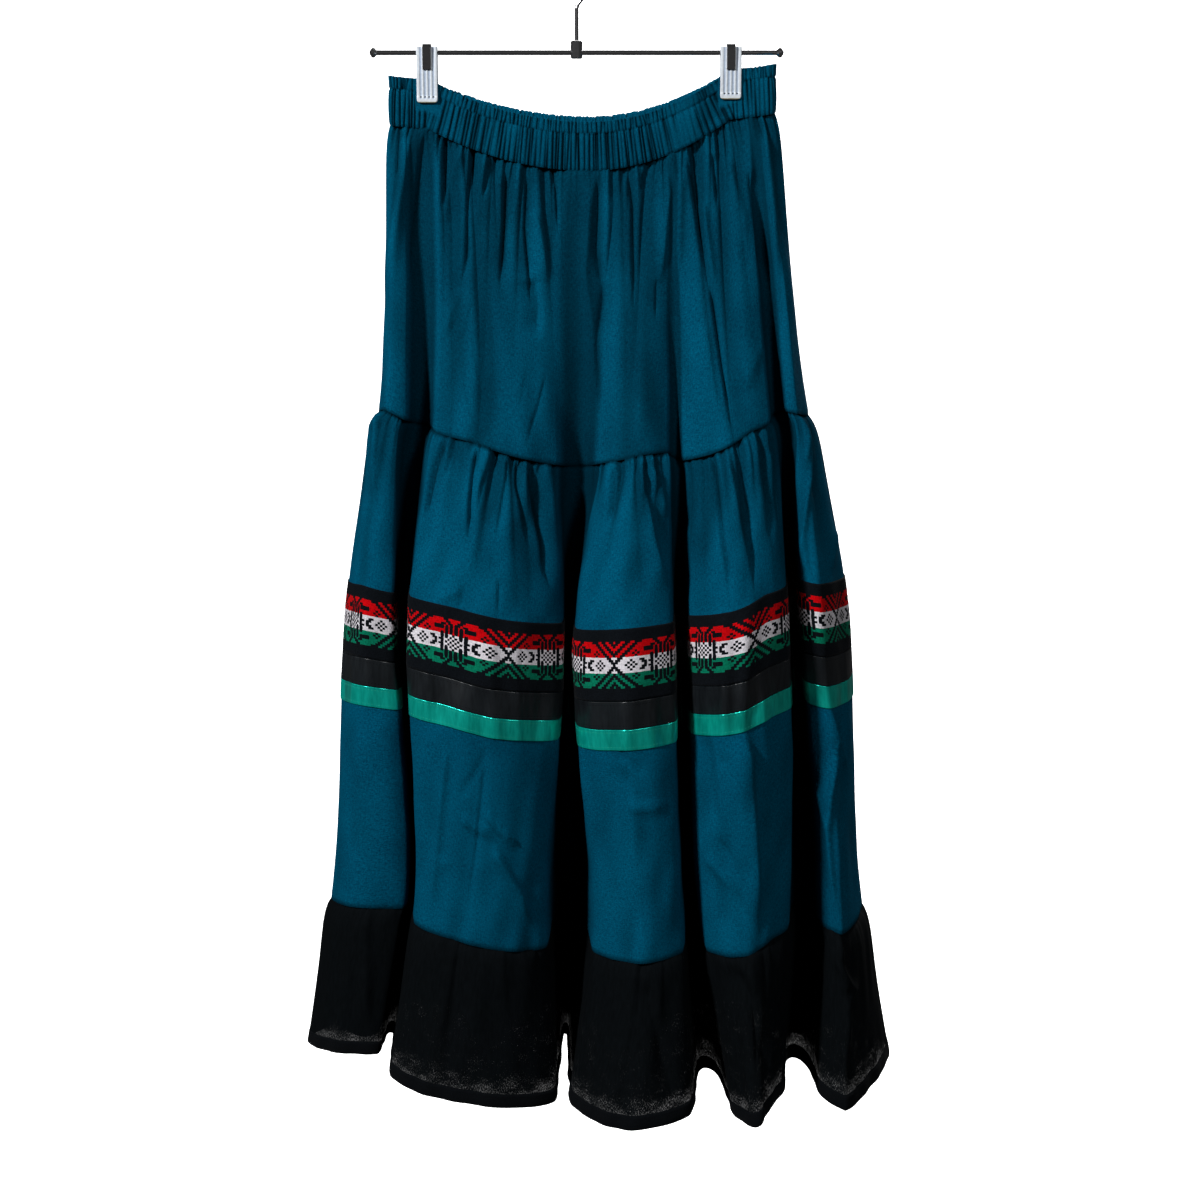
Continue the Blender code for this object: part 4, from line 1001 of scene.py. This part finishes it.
def band_line(half, columns):
    """x, outward normal and depth share round one half of the waistband."""
    straight = WAIST_RIGHT - WAIST_LEFT - 2 * WAIST_END_DEPTH
    turn = WAIST_END_DEPTH * math.pi / 2
    run = np.linspace(0, straight + 2 * turn, columns)
    from_left = run < (straight + 2 * turn) / 2
    angle = np.minimum(run, straight + 2 * turn - run) / WAIST_END_DEPTH
    turning = angle < math.pi / 2
    end_x = WAIST_END_DEPTH * (1 - np.cos(np.minimum(angle, math.pi / 2)))
    x = np.where(from_left, WAIST_LEFT + end_x, WAIST_RIGHT - end_x)
    x = np.where(turning, x, WAIST_LEFT + WAIST_END_DEPTH + run - turn)
    side = 1 if half == "back" else -1
    share = np.where(turning, np.sin(angle), 1.0)
    out_x = np.where(turning, np.cos(angle) * np.where(from_left, -1, 1), 0.0)
    normals = np.stack((out_x, side * share, np.zeros(columns)), axis=1)
    return run, x, normals, share * side


def make_waistband(half):
    """The band: a ribbed casing, and above its stitch line a narrow ruffled header."""
    columns = BAND_COLUMNS[half]
    run, x, normals, share = band_line(half, columns)
    draw = np.random.default_rng(BAND_SEED + (half == "back"))
    foot = casing_foot(x, np.full(columns, half == "back"))
    slope = np.gradient(foot, x + run * 1e-6)
    beside = smooth((from_clip(x) - JAW_SIDE) / JAW_SIDE_FADE)
    plain_patch = np.exp(-(((x - PLAIN_PATCH[0]) / PLAIN_PATCH[1]) ** 4))
    total = HEADER + CASING
    casing_rows = np.linspace(total - BAND_FOOT, HEADER, CASING_ROWS)
    outer_drops = np.concatenate((casing_rows, np.linspace(HEADER, 0, HEADER_ROWS)[1:]))
    casing_rows = np.linspace(HEADER, total, INNER_ROWS + 1)[1:]
    inner_drops = np.concatenate((np.linspace(0, HEADER, INNER_ROWS), casing_rows))
    below_jaws = smooth((outer_drops - JAW_BELOW) / JAW_BELOW_FADE)[:, None]
    free = 1 - (1 - beside[None]) * (1 - below_jaws)
    reliefs = {}
    for zone, (pitch, depth, width) in RIBS.items():
        top, height = (0, HEADER) if zone == "header" else (HEADER, CASING)
        share_down = np.clip((outer_drops - top) / height, 0, 1)
        relief = np.zeros((len(outer_drops), columns))
        count = int(run[-1] / (pitch * MM))
        steps = draw.uniform(*RIB_STEPS, count)
        places = np.cumsum(steps) / steps.sum() * run[-1]
        upper, lower = draw.uniform(*RIB_DEPTHS, (2, count))
        wander = draw.normal(0, RIB_WANDER, count)
        lean = -np.interp(places, run, slope) * RIB_LEAN * height
        widths = draw.uniform(*RIB_WIDTHS, count) * width * MM
        for k in range(count):
            centre = places[k] + (lean[k] + wander[k]) * (0.5 - share_down)
            strength = upper[k] + (lower[k] - upper[k]) * share_down
            off = np.abs(run[None] - centre[:, None]) / widths[k]
            relief -= depth * MM * strength[:, None] * np.exp(-(off**RIB_SHARP))
        reliefs[zone] = np.maximum(relief, -RIB_DEEPEST * depth * MM)
    in_casing = (outer_drops >= HEADER)[:, None]
    relief = np.where(in_casing, reliefs["casing"], reliefs["header"])
    down = np.clip((outer_drops - HEADER) / CASING, 0, 1)[:, None]
    up = np.clip(1 - outer_drops / HEADER, 0, 1)[:, None]
    bulge = np.sin(math.pi * down) ** BULGE_ROUND * CASING_BULGE
    bulge = np.where(in_casing, bulge, HEADER_BULGE * up)
    # The stitch lines pinch the casing at its top and foot
    pinch = bell((outer_drops - HEADER) / PINCH_TOP) + bell((total - outer_drops) / PINCH_FOOT)
    gathered = free * (1 - PLAIN_SHARE * plain_patch)
    shape = relief * gathered + bulge * free - PINCH * pinch[:, None] * free
    ruffle = reliefs["header"][-1] * gathered[-1]

    def row_at(drop, out):
        """The row this far below the header's top, moved outwards from the solid's outside."""
        rise = RUFFLE * ruffle * max(0.0, 1 - drop / HEADER) ** 3
        place = np.stack((x, share * waist_depth(x, drop), foot + total - drop + rise), axis=1)
        return place + normals * out[:, None]

    outer = np.array([row_at(drop, out) for drop, out in zip(outer_drops, shape)])
    inner = []
    for drop in inner_drops:
        nearest = np.argmin(np.abs(outer_drops - drop))
        ribs = relief[nearest] * gathered[nearest]
        inner.append(row_at(drop, INSIDE_RIBS * ribs - BAND_WALL))
    grid = np.concatenate((outer, inner))
    # Shade painted into the troughs between the ribs on the outside
    painted_shade = np.zeros(grid.shape[:2])
    painted_shade[: len(outer)] = RIB_SHADE * np.clip(-relief * gathered / RIB_FULL, 0, 1)
    levels = np.concatenate((-outer_drops, inner_drops))
    uv = np.stack(np.meshgrid(run * BAND_GATHERED, levels), axis=2)
    # Outside first, foot to top, so the faces are turned to look outwards
    if half == "front":
        grid, painted_shade, uv = grid[:, ::-1], painted_shade[:, ::-1], uv[:, ::-1]
    made = grid_object(f"waistband_{half}_cloth", grid, TEAL, uv, painted_shade)
    declare(f"waistband_{half}")
    for row, word in ((1, "foot"), (CASING_ROWS - 2, "top")):
        line = outer[row] + normals * STITCH_LIFT, normals
        name = f"waistband_{half}_{word}_stitches"
        dashes(name, *line, BAND_STITCH, TEAL_THREAD, "teal_cotton")


# The clips

BAR_RADIUS, JAW_WIDTH, JAW_TOP, JAW_STRAIGHT = (v * MM for v in (2.0, 18, -83, 24))
JAW_CORNER, JAW_FINE, GAP = (v * MM for v in (3, 8, 0.3))
JAW_ROWS, JAW_COLUMNS = (16, 20, 22), 73  # above its straight part, in it and near its foot
JAW_THICK = ((0, 1, 5, 6), (1.6, 2.6, 2.6, 2.0))  # height above the foot and thickness, in mm
JAW_ROUND, JAW_SHARP = 0.8 * MM, math.radians(50)
# Grooves from the plate's middle, their depth, half width and start above the foot, in mm
GROOVES = (-5.4, -1.8, 1.8, 5.4)
GROOVE_DEEP, GROOVE_WIDE, GROOVE_START, GROOVE_FADE = 0.5, 1.0, 3.2, 1.5
# Colours of a plate, in mm: the lip's height, the grooves' half width and start, and the dots'
# height above the foot and half size
LIP_HEIGHT, GROOVE_MARK, GROOVE_MARK_START = 1.3, 0.95, 3.6
DOT_HEIGHT, DOT_WIDE, DOT_HIGH = 5.0, 0.8, 0.55


def make_jaw(name, x, foot, side):
    """A jaw of a clip: a plate with upright grooves, a row of dots and a pale lip at its foot."""
    ends = (JAW_TOP, foot + JAW_STRAIGHT, foot + JAW_FINE, foot)
    parts = [np.linspace(*part) for part in zip(ends[:-1], ends[1:], JAW_ROWS)]
    heights = np.concatenate((parts[0], parts[1][1:], parts[2][1:]))
    bar_side, cloth_side = BAR_RADIUS + GAP, WAIST_GRIP_DEPTH + GAP
    knots = (foot, foot + JAW_STRAIGHT, JAW_TOP)
    inner = np.interp(heights, knots, (cloth_side, cloth_side, bar_side))
    above = heights - foot
    thick = np.interp(above, np.array(JAW_THICK[0]) * MM, JAW_THICK[1]) * MM
    corner = np.clip(JAW_CORNER - above, 0, JAW_CORNER)
    half_wide = JAW_WIDTH / 2 - JAW_CORNER + np.sqrt(JAW_CORNER**2 - corner**2)
    across = np.linspace(-1, 1, JAW_COLUMNS)
    points = []
    for z, y, deep, wide in zip(heights, inner, thick, half_wide):
        dx = across * wide
        groove = np.zeros(len(dx))
        for middle in GROOVES:
            groove += np.exp(-(((dx / MM - middle) / GROOVE_WIDE) ** 4))
        fade = smooth((z - foot - GROOVE_START * MM) / (GROOVE_FADE * MM))
        edge = np.clip((wide - np.abs(dx)) / JAW_ROUND, 0, 1)
        out = y + deep - 0.5 * MM * (1 - edge) ** 2 - groove * GROOVE_DEEP * MM * fade
        front = [(x + a, side * b, z) for a, b in zip(dx, out)]
        points += front + [(x + wide, side * y, z), (x - wide, side * y, z)]
    loop = len(across) + 2
    faces, picks = [], []
    for i in range(len(heights) - 1):
        above_foot = (heights[i] + heights[i + 1]) / 2 - foot
        for k in range(loop):
            a, b = loop * i + k, loop * i + (k + 1) % loop
            faces.append((a, b, b + loop, a + loop) if side > 0 else (a, a + loop, b + loop, b))
            pick = 0
            if k < len(across) - 1:
                dx = (across[k] + across[k + 1]) / 2 * JAW_WIDTH / 2 / MM
                near = min(abs(dx - middle) for middle in GROOVES)
                if above_foot < LIP_HEIGHT * MM:
                    pick = 3
                elif near < DOT_WIDE and abs(above_foot / MM - DOT_HEIGHT) < DOT_HIGH:
                    pick = 2
                elif near < GROOVE_MARK and above_foot > GROOVE_MARK_START * MM:
                    pick = 1
            picks.append(pick)
    faces.append(tuple(range(loop))[:: -1 if side > 0 else 1])
    faces.append(tuple(range(len(points) - loop, len(points)))[:: 1 if side > 0 else -1])
    picks += [0, 3]
    finishes = (PLATE, PLATE_GROOVE, PLATE_DOT, PLATE_LIP)
    made = mesh_object(name + "_plate", points, faces, finishes, picks=picks)
    made.data.set_sharp_from_angle(angle=JAW_SHARP)
    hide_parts(name)


BLACK_TOP = RIBBON_TOP + JACQUARD
GREEN_TOP = BLACK_TOP + BLACK_RIBBON
RIBBONS_END = GREEN_TOP + GREEN_RIBBON

# Ribbon: its top and foot, finish, rows and thread
RIBBONS = {
    "black": (BLACK_TOP, GREEN_TOP, BLACK_SATIN, 9, BLACK_THREAD),
    "green": (GREEN_TOP, RIBBONS_END, GREEN_SATIN, 8, GREEN_THREAD),
}

for half in HALVES:
    make_waistband(half)
    for tier in ("upper_tier", "middle_tier"):
        made = make_tier(tier, half, TEAL)
        declare(f"{tier}_{half}")
    made = make_tier("hem_flounce", half, GAUZE)
    hem = make_hem_band(half)
    declare(f"hem_flounce_{half}")
    make_woven(half)
    for word, facts in RIBBONS.items():
        make_ribbon(f"{word}_ribbon", half, *facts, f"{word}_satin")

for (clip_x, clip_foot, _), word in zip(CLIPS, ("left", "right")):
    make_jaw(f"clip_{word}_front_jaw", clip_x, clip_foot, -1)
    make_jaw(f"clip_{word}_back_jaw", clip_x, clip_foot, 1)

for obj in bpy.context.scene.objects:
    if obj.type == "MESH" and (obj.name.startswith("hanger_") or obj.name.endswith("_spring")):
        for slot in obj.material_slots:
            slot.material = STEEL

# Stage, light and camera


# Light: its place, what it points at, its size and its power in W
LIGHTS = {
    "key": ((-2.05, -1.8, 1.3), (0, 0, -0.3), 0.35, 126),
    "fill": ((1.35, -2.2, 1.1), (0, 0, -0.3), 0.5, 27),
    "back_key": ((0.9, 1.9, 0.7), (0, 0, -0.5), 0.5, 45),
}
AMBIENT, GAMMA, BACKDROP_GLOW = 0.05, 0.85, 1.05
LENS, EYE, LOOKS_DOWN = 68.22, (0.020, -2.0, -0.117), 12.7  # mm, m and degrees
FLOOR_Z, FLOOR_END, FLOOR_SIDE = -1.32, 9.0, 12.0
BACKDROP_Y, BACKDROP_CURVE, CURVE_STEPS = 1.6, 0.6, 12


def add_light(name, place, target, size, power):
    lamp = bpy.data.lights.new(name, "AREA")
    lamp.shape = "RECTANGLE"
    lamp.size = lamp.size_y = size
    lamp.energy = power
    made = bpy.data.objects.new(name, lamp)
    made.location = place
    made.rotation_euler = (Vector(target) - Vector(place)).to_track_quat("-Z", "Y").to_euler()
    bpy.context.scene.collection.objects.link(made)


def make_stage():
    """A pale floor that runs up into a backdrop."""
    finish, tree, shader = new_material("backdrop_paper")
    shade(shader, Base_Color=(0.9, 0.9, 0.9, 1), Emission_Color=(1, 1, 1, 1))
    shade(shader, Emission_Strength=BACKDROP_GLOW)
    profile = [(-FLOOR_END, FLOOR_Z)]
    for angle in np.linspace(0, math.pi / 2, CURVE_STEPS + 1):
        y = BACKDROP_Y + BACKDROP_CURVE * math.sin(angle)
        profile.append((y, FLOOR_Z + BACKDROP_CURVE * (1 - math.cos(angle))))
    profile.append((BACKDROP_Y + BACKDROP_CURVE, FLOOR_END))
    points = [(x, y, z) for y, z in profile for x in (-FLOOR_SIDE, FLOOR_SIDE)]
    faces = [(2 * k, 2 * k + 1, 2 * k + 3, 2 * k + 2) for k in range(len(profile) - 1)]
    mesh = bpy.data.meshes.new("floor")
    mesh.from_pydata(points, [], faces)
    mesh.materials.append(finish)
    mesh.shade_smooth()
    made = bpy.data.objects.new("floor", mesh)
    bpy.context.scene.collection.objects.link(made)
    made.visible_diffuse = False
    made.visible_glossy = False


make_stage()
for name, facts in LIGHTS.items():
    add_light(name, *facts)

world = bpy.data.worlds.new("studio")
world.use_nodes = True
shade(world.node_tree.nodes["Background"], Color=(1, 1, 1, 1), Strength=AMBIENT)
bpy.context.scene.world = world

scene = bpy.context.scene
scene.view_settings.view_transform = "Standard"
scene.view_settings.gamma = GAMMA
camera = bpy.data.cameras.new("camera")
camera.sensor_width = 36
camera.lens = LENS
eye = bpy.data.objects.new("camera", camera)
eye.location = EYE
eye.rotation_euler = (math.radians(90 - LOOKS_DOWN), 0, 0)
scene.collection.objects.link(eye)
scene.camera = eye
